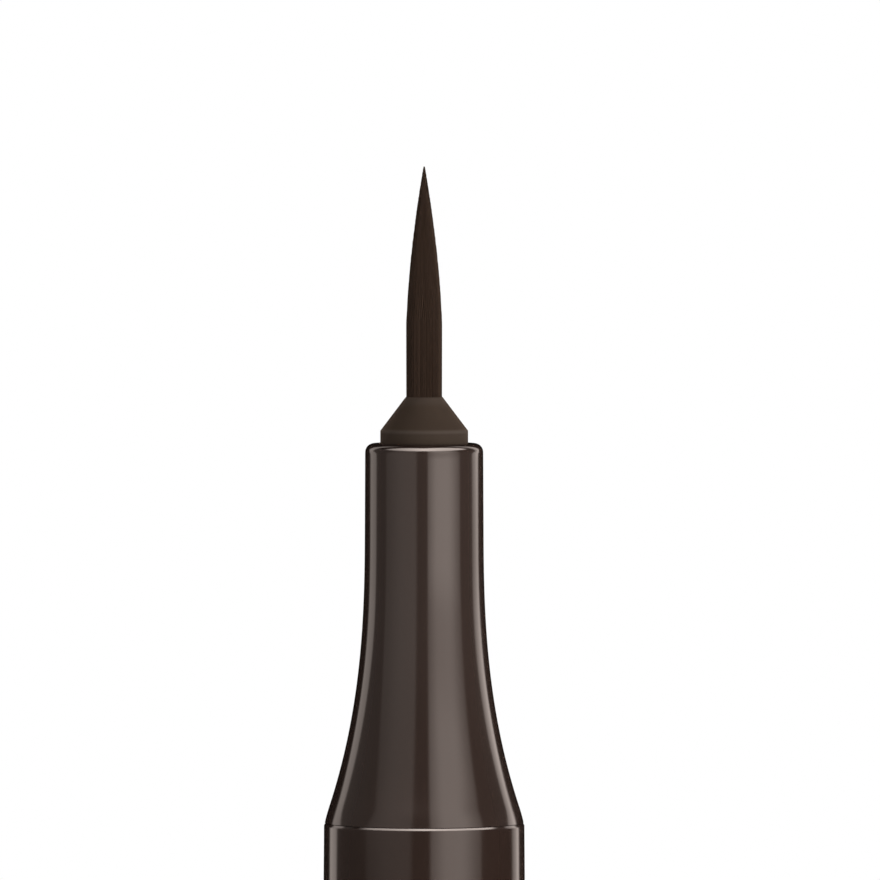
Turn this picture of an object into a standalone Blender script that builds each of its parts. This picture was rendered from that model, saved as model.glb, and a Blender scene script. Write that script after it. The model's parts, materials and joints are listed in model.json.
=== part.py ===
"""Liquid eyebrow pen with a brush tip, uncapped, standing on its cap, which is pushed onto the tail.

A free-ink pen: a stirring ball and the ink sit in a tank in the barrel, a finned collector takes up what
the tank gives off as it warms, and a fibre core leads the ink through a pipe to the root of the brush.
Lengths are in metres, +Z runs from the tail to the tip, and the origin is under the cap's closed end.
"""

import math

import bmesh
import bpy

MM = 0.001

# Facets round the turned pieces
LARGE_FACETS = 36
MEDIUM_FACETS = 24
SMALL_FACETS = 16
FINE_FACETS = 12
SEAL_SECTION_FACETS = 6
BALL_RINGS = 10
CORNER_STEPS = 3
EDGE_STEPS = 4
WELD_DISTANCE = 0.001 * MM
SHARP_ANGLE = math.radians(30)

# Fits
SLIDE_CLEARANCE = 0.05 * MM
SEAT_GAP = 0.05 * MM
CUT_OVERRUN = 0.5 * MM

# Front section: a nose with a slight draft, a flare out to the barrel, and a spigot that presses into it
FRONT_LENGTH = 18.85 * MM
NOSE_RADIUS = 2.93 * MM
NOSE_WALL = 0.7 * MM
NOSE_DRAFT = 0.085 * MM
NOSE_EDGE_RADIUS = 0.44 * MM
STRAIGHT_NOSE_LENGTH = 5.0 * MM
FLARE_WIDENING = 1.945 * MM
FLARE_POWER = 2.4
FLARE_STEPS = 9
SPIGOT_LENGTH = 9.0 * MM
SPIGOT_WALL = 1.05 * MM
SNAP_BEAD_HEIGHT = 0.03 * MM
SNAP_BEAD_WIDTH = 0.8 * MM
SNAP_BEAD_SHARES = (0.3, 0.7)

# Barrel
BARREL_WALL = 0.8 * MM
BARREL_LENGTH = 86.0 * MM
BARREL_EDGE = 0.04 * MM
BARREL_EDGE_HEIGHT = 0.1 * MM
BARREL_MOUTH_CHAMFER = 0.2 * MM

# Brush holder: the cone that the brush comes out of, on a stem with a flange
HOLDER_CONE_HEIGHT = 1.67 * MM
HOLDER_EXPOSED_HEIGHT = 0.67 * MM
HOLDER_LIP = 0.03 * MM
HOLDER_FLANGE_OVERHANG = 0.41 * MM
HOLDER_FLANGE_THICKNESS = 1.0 * MM
BRUSH_SOCKET_DEPTH = 4.0 * MM

# Brush: bristles fused to a disc at the root
BRUSH_RADIUS = 0.9 * MM
BRUSH_LENGTH = 11.4 * MM
BRUSH_STRAIGHT_LENGTH = 3.3 * MM
BRUSH_TAPER_POWER = 1.65
BRUSH_TIP_SHARE = 0.04
BRUSH_ROOT_SHARE = 0.985
BRISTLE_COUNT = 300
BRISTLE_SIDES = 3
BRISTLE_GAP = 0.006 * MM
BRISTLE_POINT_SHARE = 0.5
BRISTLE_KNOT_SHARES = (1.0, 0.5, 0.15)
BRISTLE_LEAST_STEP_SHARE = 0.03
SPIRAL_SPACING_SHARE = 1.54
ROOT_OVERHANG = 0.45 * MM
ROOT_THICKNESS = 0.8 * MM
ROOT_DEPTH_SHARE = 0.5

# Ink path: fibre core and its pipe
CORE_RADIUS = 0.53 * MM
CORE_REACH_IN_TANK = 2.0 * MM
PIPE_WALL = 0.17 * MM
PIPE_SOCKET_DEPTH = 3.0 * MM
PIPE_STOP_BELOW_ROOT = 0.5 * MM

# Collector: the comb of thin fins in the front section
FIN_THICKNESS = 0.36 * MM
FIN_SPACE = 0.35 * MM
FIN_CLEARANCE = 0.2 * MM
AIR_SLOT_WIDTH = 0.4 * MM
INK_SLOT_WIDTH = 0.16 * MM
STEM_WALL = 0.5 * MM
STUB_STEP = 0.3 * MM
STUB_LENGTH = 2.0 * MM

# Tank joint: the plug between the collector and the tank
JOINT_FLANGE_THICKNESS = 1.2 * MM
JOINT_PLUG_LENGTH = 5.0 * MM
JOINT_PLUG_CHAMFER = 0.3 * MM
SEAL_SECTION_RADIUS = 0.19 * MM
SEAL_DEPTH_SHARE = 0.5

# Ink tank and stirring ball
TANK_AIR_GAP = 0.8 * MM
TANK_WALL = 0.6 * MM
TANK_FLOOR = 1.0 * MM
TANK_EDGE_RADIUS = 0.5 * MM
BALL_RADIUS = 1.5 * MM

# Tail plug: closes the barrel, and its post carries the cap while the pen is in use
POST_LENGTH = 6.0 * MM
POST_EDGE_RADIUS = 0.5 * MM
POST_END_WALL = 1.2 * MM
TAIL_FLANGE_THICKNESS = 1.5 * MM
TAIL_PLUG_LENGTH = 12.0 * MM
TAIL_GROOVE_DEPTH = 0.25 * MM
TAIL_GROOVE_WIDTH = 1.0 * MM
TAIL_GROOVE_SHARES = (0.35, 0.65)
TANK_SOCKET_DEPTH = 2.0 * MM
TANK_SEAT_WIDTH = 0.8 * MM

# Cap: the shell, and in it the inner cap that a spring presses onto the nose
CAP_WALL = 0.65 * MM
CAP_EDGE_RADIUS = 0.5 * MM
CAP_MOUTH_CHAMFER = 0.15 * MM
CAP_END_WALL = 1.6 * MM
CAP_STEP = 0.25 * MM
CAP_BOSS_HEIGHT = 1.0 * MM
INNER_CAP_WALL = 0.5 * MM
INNER_CAP_END_WALL = 0.8 * MM
INNER_CAP_FLANGE_THICKNESS = 0.9 * MM
INNER_CAP_SHOULDER = 0.5 * MM
INNER_CAP_MOUTH_CHAMFER = 0.2 * MM
INNER_CAP_STUB_HEIGHT = 1.0 * MM
INNER_CAP_PRESS = 1.0 * MM
NOSE_GRIP_LENGTH = 4.5 * MM
TIP_CLEARANCE = 2.0 * MM
RETAINER_THICKNESS = 0.8 * MM
RETAINER_RELIEF = 0.3 * MM
SPRING_LENGTH = 6.0 * MM
SPRING_WIRE_RADIUS = 0.17 * MM
SPRING_INSET = 0.4 * MM
SPRING_TURNS = 6
SPRING_POINTS_PER_TURN = 10

# Radii of the front section and barrel
FLARE_END_RADIUS = NOSE_RADIUS + NOSE_DRAFT + FLARE_WIDENING
FLARE_LENGTH = FRONT_LENGTH - STRAIGHT_NOSE_LENGTH
BARREL_RADIUS = FLARE_END_RADIUS + BARREL_EDGE
BARREL_BORE_RADIUS = BARREL_RADIUS - BARREL_WALL
SPIGOT_RADIUS = BARREL_BORE_RADIUS - SLIDE_CLEARANCE
NOSE_BORE_RADIUS = NOSE_RADIUS - NOSE_WALL
COLLECTOR_BORE_RADIUS = SPIGOT_RADIUS - SPIGOT_WALL

# Radii of the brush and its holder, where a sunflower spiral's least spacing gives the bristles' thickness
HOLDER_RADIUS = NOSE_BORE_RADIUS - SLIDE_CLEARANCE
HOLDER_FLANGE_RADIUS = HOLDER_RADIUS + HOLDER_FLANGE_OVERHANG
HOLDER_SEAT_RADIUS = HOLDER_FLANGE_RADIUS + SLIDE_CLEARANCE
BRUSH_BORE_RADIUS = BRUSH_RADIUS * BRUSH_ROOT_SHARE + SLIDE_CLEARANCE / 2
ROOT_RADIUS = BRUSH_RADIUS + ROOT_OVERHANG
ROOT_BORE_RADIUS = ROOT_RADIUS + SLIDE_CLEARANCE
GOLDEN_ANGLE = math.pi * (3.0 - math.sqrt(5.0))
SPACING_SHARE = SPIRAL_SPACING_SHARE / math.sqrt(BRISTLE_COUNT)
BRISTLE_RADIUS = (SPACING_SHARE * BRUSH_RADIUS - BRISTLE_GAP) / (2 + SPACING_SHARE)

# Radii of the ink path, collector, joint and tank
CORE_BORE_RADIUS = CORE_RADIUS + SLIDE_CLEARANCE
PIPE_RADIUS = CORE_BORE_RADIUS + PIPE_WALL
PIPE_BORE_RADIUS = PIPE_RADIUS + SLIDE_CLEARANCE
STEM_RADIUS = PIPE_BORE_RADIUS + STEM_WALL
STEM_BORE_RADIUS = STEM_RADIUS + SLIDE_CLEARANCE
FIN_RADIUS = COLLECTOR_BORE_RADIUS - FIN_CLEARANCE
TANK_RADIUS = BARREL_BORE_RADIUS - TANK_AIR_GAP
TANK_BORE_RADIUS = TANK_RADIUS - TANK_WALL
JOINT_PLUG_RADIUS = TANK_BORE_RADIUS - SLIDE_CLEARANCE
JOINT_FLANGE_RADIUS = BARREL_BORE_RADIUS - SLIDE_CLEARANCE
SEAL_RADIUS = TANK_BORE_RADIUS - SEAL_SECTION_RADIUS - SLIDE_CLEARANCE / 2
SEAL_GROOVE_RADIUS = SEAL_RADIUS - SEAL_SECTION_RADIUS - SLIDE_CLEARANCE / 2
SEAL_GROOVE_WIDTH = 2 * (SEAL_SECTION_RADIUS + SLIDE_CLEARANCE)

# Radii of the tail plug and cap
TAIL_PLUG_RADIUS = BARREL_BORE_RADIUS - SLIDE_CLEARANCE
TANK_SOCKET_RADIUS = TANK_RADIUS + SLIDE_CLEARANCE
TAIL_BORE_RADIUS = TANK_RADIUS - TANK_SEAT_WIDTH
CAP_MOUTH_RADIUS = BARREL_RADIUS - CAP_WALL
CAP_BORE_RADIUS = CAP_MOUTH_RADIUS - CAP_STEP
POST_RADIUS = CAP_MOUTH_RADIUS - SLIDE_CLEARANCE
GRIP_RADIUS = NOSE_RADIUS + NOSE_DRAFT + SLIDE_CLEARANCE
CHAMBER_RADIUS = GRIP_RADIUS - INNER_CAP_SHOULDER
RETAINER_BORE_RADIUS = GRIP_RADIUS + RETAINER_RELIEF
SPRING_RADIUS = CHAMBER_RADIUS + INNER_CAP_WALL - SPRING_INSET
SPRING_INNER_RADIUS = SPRING_RADIUS * math.cos(math.pi / SPRING_POINTS_PER_TURN) - SPRING_WIRE_RADIUS
SPRING_GUIDE_RADIUS = SPRING_INNER_RADIUS - SLIDE_CLEARANCE


def front_radius(height):
    """The front section's outer radius at a height above the seam.

    The nose radius, a draft that grows evenly towards the seam, and the flare: widening x share ^ power.
    """
    drafted = NOSE_RADIUS + NOSE_DRAFT * (1.0 - height / FRONT_LENGTH)
    share = max(0.0, 1.0 - height / FLARE_LENGTH)
    return drafted + FLARE_WIDENING * share**FLARE_POWER


def flare_height(radius):
    """The height above the seam at which the flare alone, on a nose of full draft, has a radius."""
    share = max(0.0, radius - NOSE_RADIUS - NOSE_DRAFT) / FLARE_WIDENING
    return FLARE_LENGTH * (1.0 - share ** (1.0 / FLARE_POWER))


# Heights in the front section above the seam, where its wall is at least NOSE_WALL thick outside each step
COLLECTOR_BORE_TOP = flare_height(COLLECTOR_BORE_RADIUS + NOSE_WALL)
HOLDER_STOP = flare_height(HOLDER_SEAT_RADIUS + NOSE_WALL)
HOLDER_BURIED_LENGTH = FRONT_LENGTH - HOLDER_STOP + SEAT_GAP + HOLDER_FLANGE_THICKNESS

# The cap's length: what it has to cover from where its mouth meets the flare
TIP_ABOVE_RIM = HOLDER_EXPOSED_HEIGHT + HOLDER_CONE_HEIGHT + BRUSH_LENGTH
INNER_CAP_BOTTOM = CAP_END_WALL + SPRING_LENGTH
CHAMBER_FLOOR = INNER_CAP_BOTTOM + INNER_CAP_END_WALL
NOSE_STOP = CHAMBER_FLOOR + TIP_CLEARANCE + TIP_ABOVE_RIM
INNER_CAP_MOUTH = NOSE_STOP + NOSE_GRIP_LENGTH
RETAINER_BOTTOM = INNER_CAP_MOUTH + SEAT_GAP
CAP_LENGTH = NOSE_STOP - INNER_CAP_PRESS + FRONT_LENGTH - flare_height(CAP_MOUTH_RADIUS)

# Heights of the pen's pieces above the cap's closed end
TAIL_FLANGE_BOTTOM = CAP_LENGTH + SEAT_GAP
BARREL_BOTTOM = TAIL_FLANGE_BOTTOM + TAIL_FLANGE_THICKNESS + SEAT_GAP
SEAM_HEIGHT = BARREL_BOTTOM + BARREL_LENGTH + SEAT_GAP
SPIGOT_BOTTOM = SEAM_HEIGHT - SPIGOT_LENGTH
RIM_HEIGHT = SEAM_HEIGHT + FRONT_LENGTH
HOLDER_BOTTOM = RIM_HEIGHT - HOLDER_BURIED_LENGTH
HOLDER_TOP = RIM_HEIGHT + HOLDER_EXPOSED_HEIGHT + HOLDER_CONE_HEIGHT
ROOT_TOP = HOLDER_TOP - BRUSH_SOCKET_DEPTH - SEAT_GAP
ROOT_BOTTOM = ROOT_TOP - ROOT_THICKNESS
BRUSH_TIP_HEIGHT = HOLDER_TOP + BRUSH_LENGTH
BRUSH_TAPER_LENGTH = BRUSH_LENGTH - BRUSH_STRAIGHT_LENGTH
JOINT_FLANGE_TOP = SPIGOT_BOTTOM - SEAT_GAP
JOINT_FLANGE_BOTTOM = JOINT_FLANGE_TOP - JOINT_FLANGE_THICKNESS
JOINT_BOTTOM = JOINT_FLANGE_BOTTOM - JOINT_PLUG_LENGTH
TAIL_PLUG_TOP = BARREL_BOTTOM + TAIL_PLUG_LENGTH
TANK_BOTTOM = TAIL_PLUG_TOP - TANK_SOCKET_DEPTH + SEAT_GAP
TANK_TOP = JOINT_FLANGE_BOTTOM - SEAT_GAP
COLLECTOR_TOP = HOLDER_BOTTOM - SEAT_GAP
FINS_TOP = min(COLLECTOR_TOP - STUB_LENGTH, SEAM_HEIGHT + COLLECTOR_BORE_TOP - FIN_SPACE)
FIN_PITCH = FIN_THICKNESS + FIN_SPACE
FIN_COUNT = int((FINS_TOP - JOINT_FLANGE_TOP) / FIN_PITCH)
FINS_BOTTOM = FINS_TOP - FIN_PITCH * FIN_COUNT + FIN_SPACE
CORE_BOTTOM = JOINT_BOTTOM - CORE_REACH_IN_TANK
CORE_TOP = ROOT_BOTTOM - SEAT_GAP
PIPE_BOTTOM = COLLECTOR_TOP - PIPE_SOCKET_DEPTH + SEAT_GAP
PIPE_TOP = ROOT_BOTTOM - PIPE_STOP_BELOW_ROOT
BALL_HEIGHT = TANK_BOTTOM + TANK_FLOOR + BALL_RADIUS + SEAT_GAP

# Colours as linear red, green and blue, then roughness and metallic
FINISHES = {
    "gloss_brown": ((0.048, 0.034, 0.029), 0.14, 0.0),
    "matt_brown": ((0.036, 0.025, 0.019), 0.5, 0.0),
    "bristle_brown": ((0.026, 0.016, 0.011), 0.65, 0.0),
    "milky_plastic": ((0.62, 0.60, 0.56), 0.45, 0.0),
    "white_plastic": ((0.78, 0.77, 0.74), 0.35, 0.0),
    "ink_stained_fibre": ((0.09, 0.055, 0.038), 0.9, 0.0),
    "steel": ((0.56, 0.55, 0.53), 0.22, 1.0),
    "black_rubber": ((0.012, 0.012, 0.012), 0.6, 0.0),
}


def clear_scene():
    """Removes whatever the scene holds at the start."""
    for old in list(bpy.data.objects):
        bpy.data.objects.remove(old)


def new_collection(name):
    """A collection in the scene."""
    collection = bpy.data.collections.new(name)
    bpy.context.scene.collection.children.link(collection)
    return collection


def as_helper(obj, carrier):
    """Makes an object a hidden helper of the piece that it cuts or joins, in that piece's own space."""
    for collection in list(obj.users_collection):
        collection.objects.unlink(obj)
    bpy.data.collections["cutters"].objects.link(obj)
    obj.parent = carrier
    obj.hide_render = True
    obj.display_type = "WIRE"


def new_body(name, height, collection):
    """An empty on the pen's axis, which the pieces that move together hang from."""
    body = bpy.data.objects.new(name, None)
    body.location = (0.0, 0.0, height)
    collection.objects.link(body)
    return body


def new_material(name):
    """A Principled BSDF material with one of the finishes above."""
    colour, roughness, metallic = FINISHES[name]
    material = bpy.data.materials.new(name)
    material.use_nodes = True
    shader = material.node_tree.nodes["Principled BSDF"]
    shader.inputs["Base Color"].default_value = (*colour, 1.0)
    shader.inputs["Roughness"].default_value = roughness
    shader.inputs["Metallic"].default_value = metallic
    return material


def place(obj, finish, body, height):
    """Gives an object its material and hangs it from its body, with its origin at a height on the axis."""
    material = bpy.data.materials.get(finish) or new_material(finish)
    obj.data.materials.clear()
    obj.data.materials.append(material)
    for collection in list(obj.users_collection):
        collection.objects.unlink(obj)
    body.users_collection[0].objects.link(obj)
    obj.parent = body
    obj.location = (0.0, 0.0, height - body.location.z)
    return obj


def evaluated_mesh(obj):
    """The object's mesh as its modifiers or curve settings make it, with a curve's loose caps welded on."""
    bpy.context.view_layer.update()
    graph = bpy.context.evaluated_depsgraph_get()
    mesh = bpy.data.meshes.new_from_object(obj.evaluated_get(graph))
    shape = bmesh.new()
    shape.from_mesh(mesh)
    bmesh.ops.remove_doubles(shape, verts=shape.verts, dist=WELD_DISTANCE)
    bmesh.ops.recalc_face_normals(shape, faces=shape.faces)
    shape.to_mesh(mesh)
    shape.free()
    return mesh


def shade_round(mesh):
    """Smooth shading that keeps the turned corners sharp."""
    mesh.shade_smooth()
    mesh.set_sharp_from_angle(angle=SHARP_ANGLE)


def turned(name, profile, facets):
    """A turned piece, whose (radius, height) points run down the outside, and up the bore if it has one.

    A profile that starts and ends on the axis is a solid, or a cup if it starts at the inner floor. Any other
    is closed into a ring.
    """
    mesh = bpy.data.meshes.new(name)
    points = [(radius, 0.0, height) for radius, height in profile]
    edges = [(i, i + 1) for i in range(len(points) - 1)]
    if profile[0][0] > 0.0:
        edges.append((len(points) - 1, 0))
    mesh.from_pydata(points, edges, [])
    obj = bpy.data.objects.new(name, mesh)
    bpy.context.scene.collection.objects.link(obj)
    screw = obj.modifiers.new("Turn", "SCREW")
    screw.axis = "Z"
    screw.angle = math.tau
    screw.steps = facets
    screw.render_steps = facets
    screw.use_merge_vertices = True
    screw.merge_threshold = WELD_DISTANCE
    obj.data = evaluated_mesh(obj)
    obj.modifiers.clear()
    shade_round(obj.data)
    return obj


def arc(centre_radius, centre_height, size, first, last, steps=CORNER_STEPS):
    """Profile points on a round corner between two angles in degrees, 0 pointing outwards and 90 up."""
    angles = [math.radians(first + (last - first) * i / steps) for i in range(steps + 1)]
    return [(centre_radius + size * math.cos(a), centre_height + size * math.sin(a)) for a in angles]


def groove(radius, depth, bottom, width):
    """Profile points of a groove on an outer side, from its top edge down to its bottom edge."""
    top = bottom + width
    return [(radius, top), (radius - depth, top), (radius - depth, bottom), (radius, bottom)]


def boolean(obj, helper, operation):
    """Cuts or joins an object with a helper, which stays hidden beside it."""
    as_helper(helper, obj)
    modifier = obj.modifiers.new(helper.name, "BOOLEAN")
    modifier.operation = operation
    modifier.solver = "EXACT"
    modifier.object = helper


def make_barrel(body):
    """The plain tube that the hand holds, its top edge eased where it meets the front section."""
    profile = [
        (BARREL_RADIUS - BARREL_EDGE, BARREL_LENGTH),
        (BARREL_RADIUS, BARREL_LENGTH - BARREL_EDGE_HEIGHT),
        (BARREL_RADIUS, BARREL_EDGE),
        (BARREL_RADIUS - BARREL_EDGE, 0.0),
        (BARREL_BORE_RADIUS, 0.0),
        (BARREL_BORE_RADIUS, BARREL_LENGTH - BARREL_MOUTH_CHAMFER),
        (BARREL_BORE_RADIUS + BARREL_MOUTH_CHAMFER, BARREL_LENGTH),
    ]
    place(turned("barrel", profile, LARGE_FACETS), "gloss_brown", body, BARREL_BOTTOM)


def make_front_section(body):
    """The glossy nose: rounded rim, nose, flare, and below the seam the spigot with its snap beads."""
    rim = FRONT_LENGTH + SPIGOT_LENGTH
    seam = SPIGOT_LENGTH
    edge_centre = NOSE_RADIUS - NOSE_EDGE_RADIUS
    flare_heights = [FLARE_LENGTH * (1 - i / FLARE_STEPS) for i in range(FLARE_STEPS + 1)]
    outside = arc(edge_centre, rim - NOSE_EDGE_RADIUS, NOSE_EDGE_RADIUS, 90, 0, EDGE_STEPS)
    outside += [(front_radius(height), seam + height) for height in flare_heights]
    outside.append((SPIGOT_RADIUS, seam))
    for share in reversed(SNAP_BEAD_SHARES):
        middle = SPIGOT_LENGTH * share
        outside += [
            (SPIGOT_RADIUS, middle + SNAP_BEAD_WIDTH / 2),
            (SPIGOT_RADIUS + SNAP_BEAD_HEIGHT, middle),
            (SPIGOT_RADIUS, middle - SNAP_BEAD_WIDTH / 2),
        ]
    outside.append((SPIGOT_RADIUS, 0.0))
    inside = [
        (COLLECTOR_BORE_RADIUS, 0.0),
        (COLLECTOR_BORE_RADIUS, seam + COLLECTOR_BORE_TOP),
        (HOLDER_SEAT_RADIUS, seam + COLLECTOR_BORE_TOP),
        (HOLDER_SEAT_RADIUS, seam + HOLDER_STOP),
        (NOSE_BORE_RADIUS, seam + HOLDER_STOP),
        (NOSE_BORE_RADIUS, rim),
    ]
    section = turned("front_section", outside + inside, LARGE_FACETS)
    place(section, "gloss_brown", body, SPIGOT_BOTTOM)


def make_brush_holder(body):
    """The matt cone, on a long stem whose flange stops it from coming out of the nose."""
    top = HOLDER_TOP - HOLDER_BOTTOM
    cone_base = top - HOLDER_CONE_HEIGHT
    root_stop = top - BRUSH_SOCKET_DEPTH
    profile = [
        (BRUSH_BORE_RADIUS + HOLDER_LIP, top),
        (HOLDER_RADIUS, cone_base),
        (HOLDER_RADIUS, HOLDER_FLANGE_THICKNESS),
        (HOLDER_FLANGE_RADIUS, HOLDER_FLANGE_THICKNESS),
        (HOLDER_FLANGE_RADIUS, 0.0),
        (ROOT_BORE_RADIUS, 0.0),
        (ROOT_BORE_RADIUS, root_stop),
        (BRUSH_BORE_RADIUS, root_stop),
        (BRUSH_BORE_RADIUS, top),
    ]
    place(turned("brush_holder", profile, MEDIUM_FACETS), "matt_brown", body, HOLDER_BOTTOM)


def brush_outline(share):
    """The brush's radius as a share of its full one, at a share of the way from the tip down the taper."""
    return BRUSH_TIP_SHARE + (1.0 - BRUSH_TIP_SHARE) * (1.0 - (1.0 - share) ** BRUSH_TAPER_POWER)


def outline_place(outline):
    """The inverse of brush_outline: where on the taper the brush has this share of its full radius."""
    fall = (outline - BRUSH_TIP_SHARE) / (1.0 - BRUSH_TIP_SHARE)
    return 1.0 - (1.0 - max(0.0, fall)) ** (1.0 / BRUSH_TAPER_POWER)


def bristle_lean(share):
    """How far all bristles have leant in at a place on the taper: straight runs between the knots.

    At each knot, and at the tip, it is the square root of the outline.
    """
    knots = (*BRISTLE_KNOT_SHARES, 0.0)
    for upper, lower in zip(knots, knots[1:]):
        if share >= lower:
            low, high = math.sqrt(brush_outline(lower)), math.sqrt(brush_outline(upper))
            return low + (high - low) * (share - lower) / (upper - lower)
    return math.sqrt(brush_outline(0.0))


def bristle_path(index):
    """The centreline of one bristle as (radius, angle, height, thickness as a share of BRISTLE_RADIUS).

    Roots lie on a sunflower spiral. All bristles lean in alike, so none crosses another, and each ends where
    it meets the brush's outline, so the outer ones are the shortest.
    """
    share_out = math.sqrt((index + 0.5) / BRISTLE_COUNT)
    angle = index * GOLDEN_ANGLE
    root_radius = share_out * (BRUSH_RADIUS - BRISTLE_RADIUS)
    end = outline_place(share_out**2)
    foot = ROOT_BOTTOM + ROOT_THICKNESS * ROOT_DEPTH_SHARE
    path = [(root_radius * BRUSH_ROOT_SHARE, angle, foot, 1.0)]
    for share in [knot for knot in BRISTLE_KNOT_SHARES if knot > end + BRISTLE_LEAST_STEP_SHARE] + [end]:
        lean = bristle_lean(share)
        thickness = lean * BRISTLE_POINT_SHARE if share == end else lean
        path.append((root_radius * lean, angle, BRUSH_TIP_HEIGHT - BRUSH_TAPER_LENGTH * share, thickness))
    return path


def make_bristles():
    """All the bristles as one mesh: a small polygon swept along each path."""
    section = bpy.data.curves.new("bristle_section", "CURVE")
    outline = section.splines.new("POLY")
    outline.points.add(BRISTLE_SIDES - 1)
    outline.use_cyclic_u = True
    for i, point in enumerate(outline.points):
        turn = math.tau * i / BRISTLE_SIDES
        point.co = (BRISTLE_RADIUS * math.cos(turn), BRISTLE_RADIUS * math.sin(turn), 0.0, 1.0)
    section_object = bpy.data.objects.new("bristle_section", section)
    bpy.context.scene.collection.objects.link(section_object)

    bundle = bpy.data.curves.new("bristles", "CURVE")
    bundle.dimensions = "3D"
    bundle.bevel_mode = "OBJECT"
    bundle.bevel_object = section_object
    bundle.use_fill_caps = True
    for index in range(BRISTLE_COUNT):
        path = bristle_path(index)
        spline = bundle.splines.new("POLY")
        spline.points.add(len(path) - 1)
        for point, (radius, angle, height, thickness) in zip(spline.points, path):
            point.co = (radius * math.cos(angle), radius * math.sin(angle), height - ROOT_BOTTOM, 1.0)
            point.radius = thickness
    swept = bpy.data.objects.new("swept_bristles", bundle)
    bpy.context.scene.collection.objects.link(swept)
    bristles = bpy.data.objects.new("bristles", evaluated_mesh(swept))
    bpy.context.scene.collection.objects.link(bristles)
    bpy.data.objects.remove(swept)
    bpy.data.objects.remove(section_object)
    return bristles


def make_brush(body):
    """The bristles, fused to the disc that the holder grips."""
    disc = [(0.0, ROOT_THICKNESS), (ROOT_RADIUS, ROOT_THICKNESS), (ROOT_RADIUS, 0.0), (0.0, 0.0)]
    brush = turned("brush", disc, SMALL_FACETS)
    boolean(brush, make_bristles(), "UNION")
    place(brush, "bristle_brown", body, ROOT_BOTTOM)


def least_bristle_gap():
    """The least distance between two bristles, measured at their roots and where the taper starts."""
    gaps = []
    for ring in (0, 1):
        points = []
        for index in range(BRISTLE_COUNT):
            radius, angle, _, thickness = bristle_path(index)[ring]
            points.append((radius * math.cos(angle), radius * math.sin(angle), thickness * BRISTLE_RADIUS))
        for i, (x, y, size) in enumerate(points):
            gaps += [math.hypot(x - u, y - v) - size - other for u, v, other in points[:i]]
    return min(gaps)


def make_brush_retainer(body):
    """The tube pressed in behind the brush's root disc, which also centres the pipe."""
    length = ROOT_BOTTOM - SEAT_GAP - HOLDER_BOTTOM
    profile = [
        (ROOT_RADIUS, length),
        (ROOT_RADIUS, 0.0),
        (PIPE_BORE_RADIUS, 0.0),
        (PIPE_BORE_RADIUS, length),
    ]
    place(turned("brush_retainer", profile, SMALL_FACETS), "milky_plastic", body, HOLDER_BOTTOM)


def make_core_pipe(body):
    """The steel pipe that keeps the fibre core from drying out between collector and brush."""
    length = PIPE_TOP - PIPE_BOTTOM
    profile = [
        (PIPE_RADIUS, length),
        (PIPE_RADIUS, 0.0),
        (CORE_BORE_RADIUS, 0.0),
        (CORE_BORE_RADIUS, length),
    ]
    place(turned("core_pipe", profile, FINE_FACETS), "steel", body, PIPE_BOTTOM)


def make_relay_core(body):
    """The fibre rod that carries ink from the tank to the brush's root."""
    length = CORE_TOP - CORE_BOTTOM
    profile = [(0.0, length), (CORE_RADIUS, length), (CORE_RADIUS, 0.0), (0.0, 0.0)]
    place(turned("relay_core", profile, FINE_FACETS), "ink_stained_fibre", body, CORE_BOTTOM)


def make_slot_cutter(name, side, width, depth_radius, bottom, top):
    """A box that cuts a slot along all the fins, on the +X side (1) or the -X side (-1), in to a radius."""
    outer = FIN_RADIUS + CUT_OVERRUN
    bpy.ops.mesh.primitive_cube_add(size=1.0)
    cutter = bpy.context.active_object
    cutter.name = name
    cutter.scale = (outer - depth_radius, width, top - bottom)
    cutter.location = (side * (outer + depth_radius) / 2, 0.0, (top + bottom) / 2)
    return cutter


def make_collector(body):
    """The comb: thin fins on a hollow stem, cut through by a wide slot for air and a fine one for ink."""
    top = COLLECTOR_TOP - JOINT_BOTTOM
    first_fin = FINS_BOTTOM - JOINT_BOTTOM
    fins_top = FINS_TOP - JOINT_BOTTOM
    stub_radius = STEM_RADIUS + STUB_STEP
    outside = [
        (stub_radius, top),
        (stub_radius, fins_top + FIN_SPACE),
        (STEM_RADIUS, fins_top + FIN_SPACE),
    ]
    for i in reversed(range(FIN_COUNT)):
        bottom = first_fin + FIN_PITCH * i
        outside += [
            (STEM_RADIUS, bottom + FIN_THICKNESS),
            (FIN_RADIUS, bottom + FIN_THICKNESS),
            (FIN_RADIUS, bottom),
            (STEM_RADIUS, bottom),
        ]
    outside.append((STEM_RADIUS, 0.0))
    socket_floor = top - PIPE_SOCKET_DEPTH
    inside = [
        (CORE_BORE_RADIUS, 0.0),
        (CORE_BORE_RADIUS, socket_floor),
        (PIPE_BORE_RADIUS, socket_floor),
        (PIPE_BORE_RADIUS, top),
    ]
    collector = turned("collector", outside + inside, SMALL_FACETS)
    low = first_fin - FIN_SPACE / 2
    high = fins_top + FIN_SPACE / 2
    air_depth = STEM_RADIUS - STEM_WALL / 2
    boolean(collector, make_slot_cutter("air_slot", 1, AIR_SLOT_WIDTH, air_depth, low, high), "DIFFERENCE")
    ink_depth = STEM_RADIUS + SLIDE_CLEARANCE
    boolean(collector, make_slot_cutter("ink_slot", -1, INK_SLOT_WIDTH, ink_depth, low, high), "DIFFERENCE")
    place(collector, "milky_plastic", body, JOINT_BOTTOM)


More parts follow.
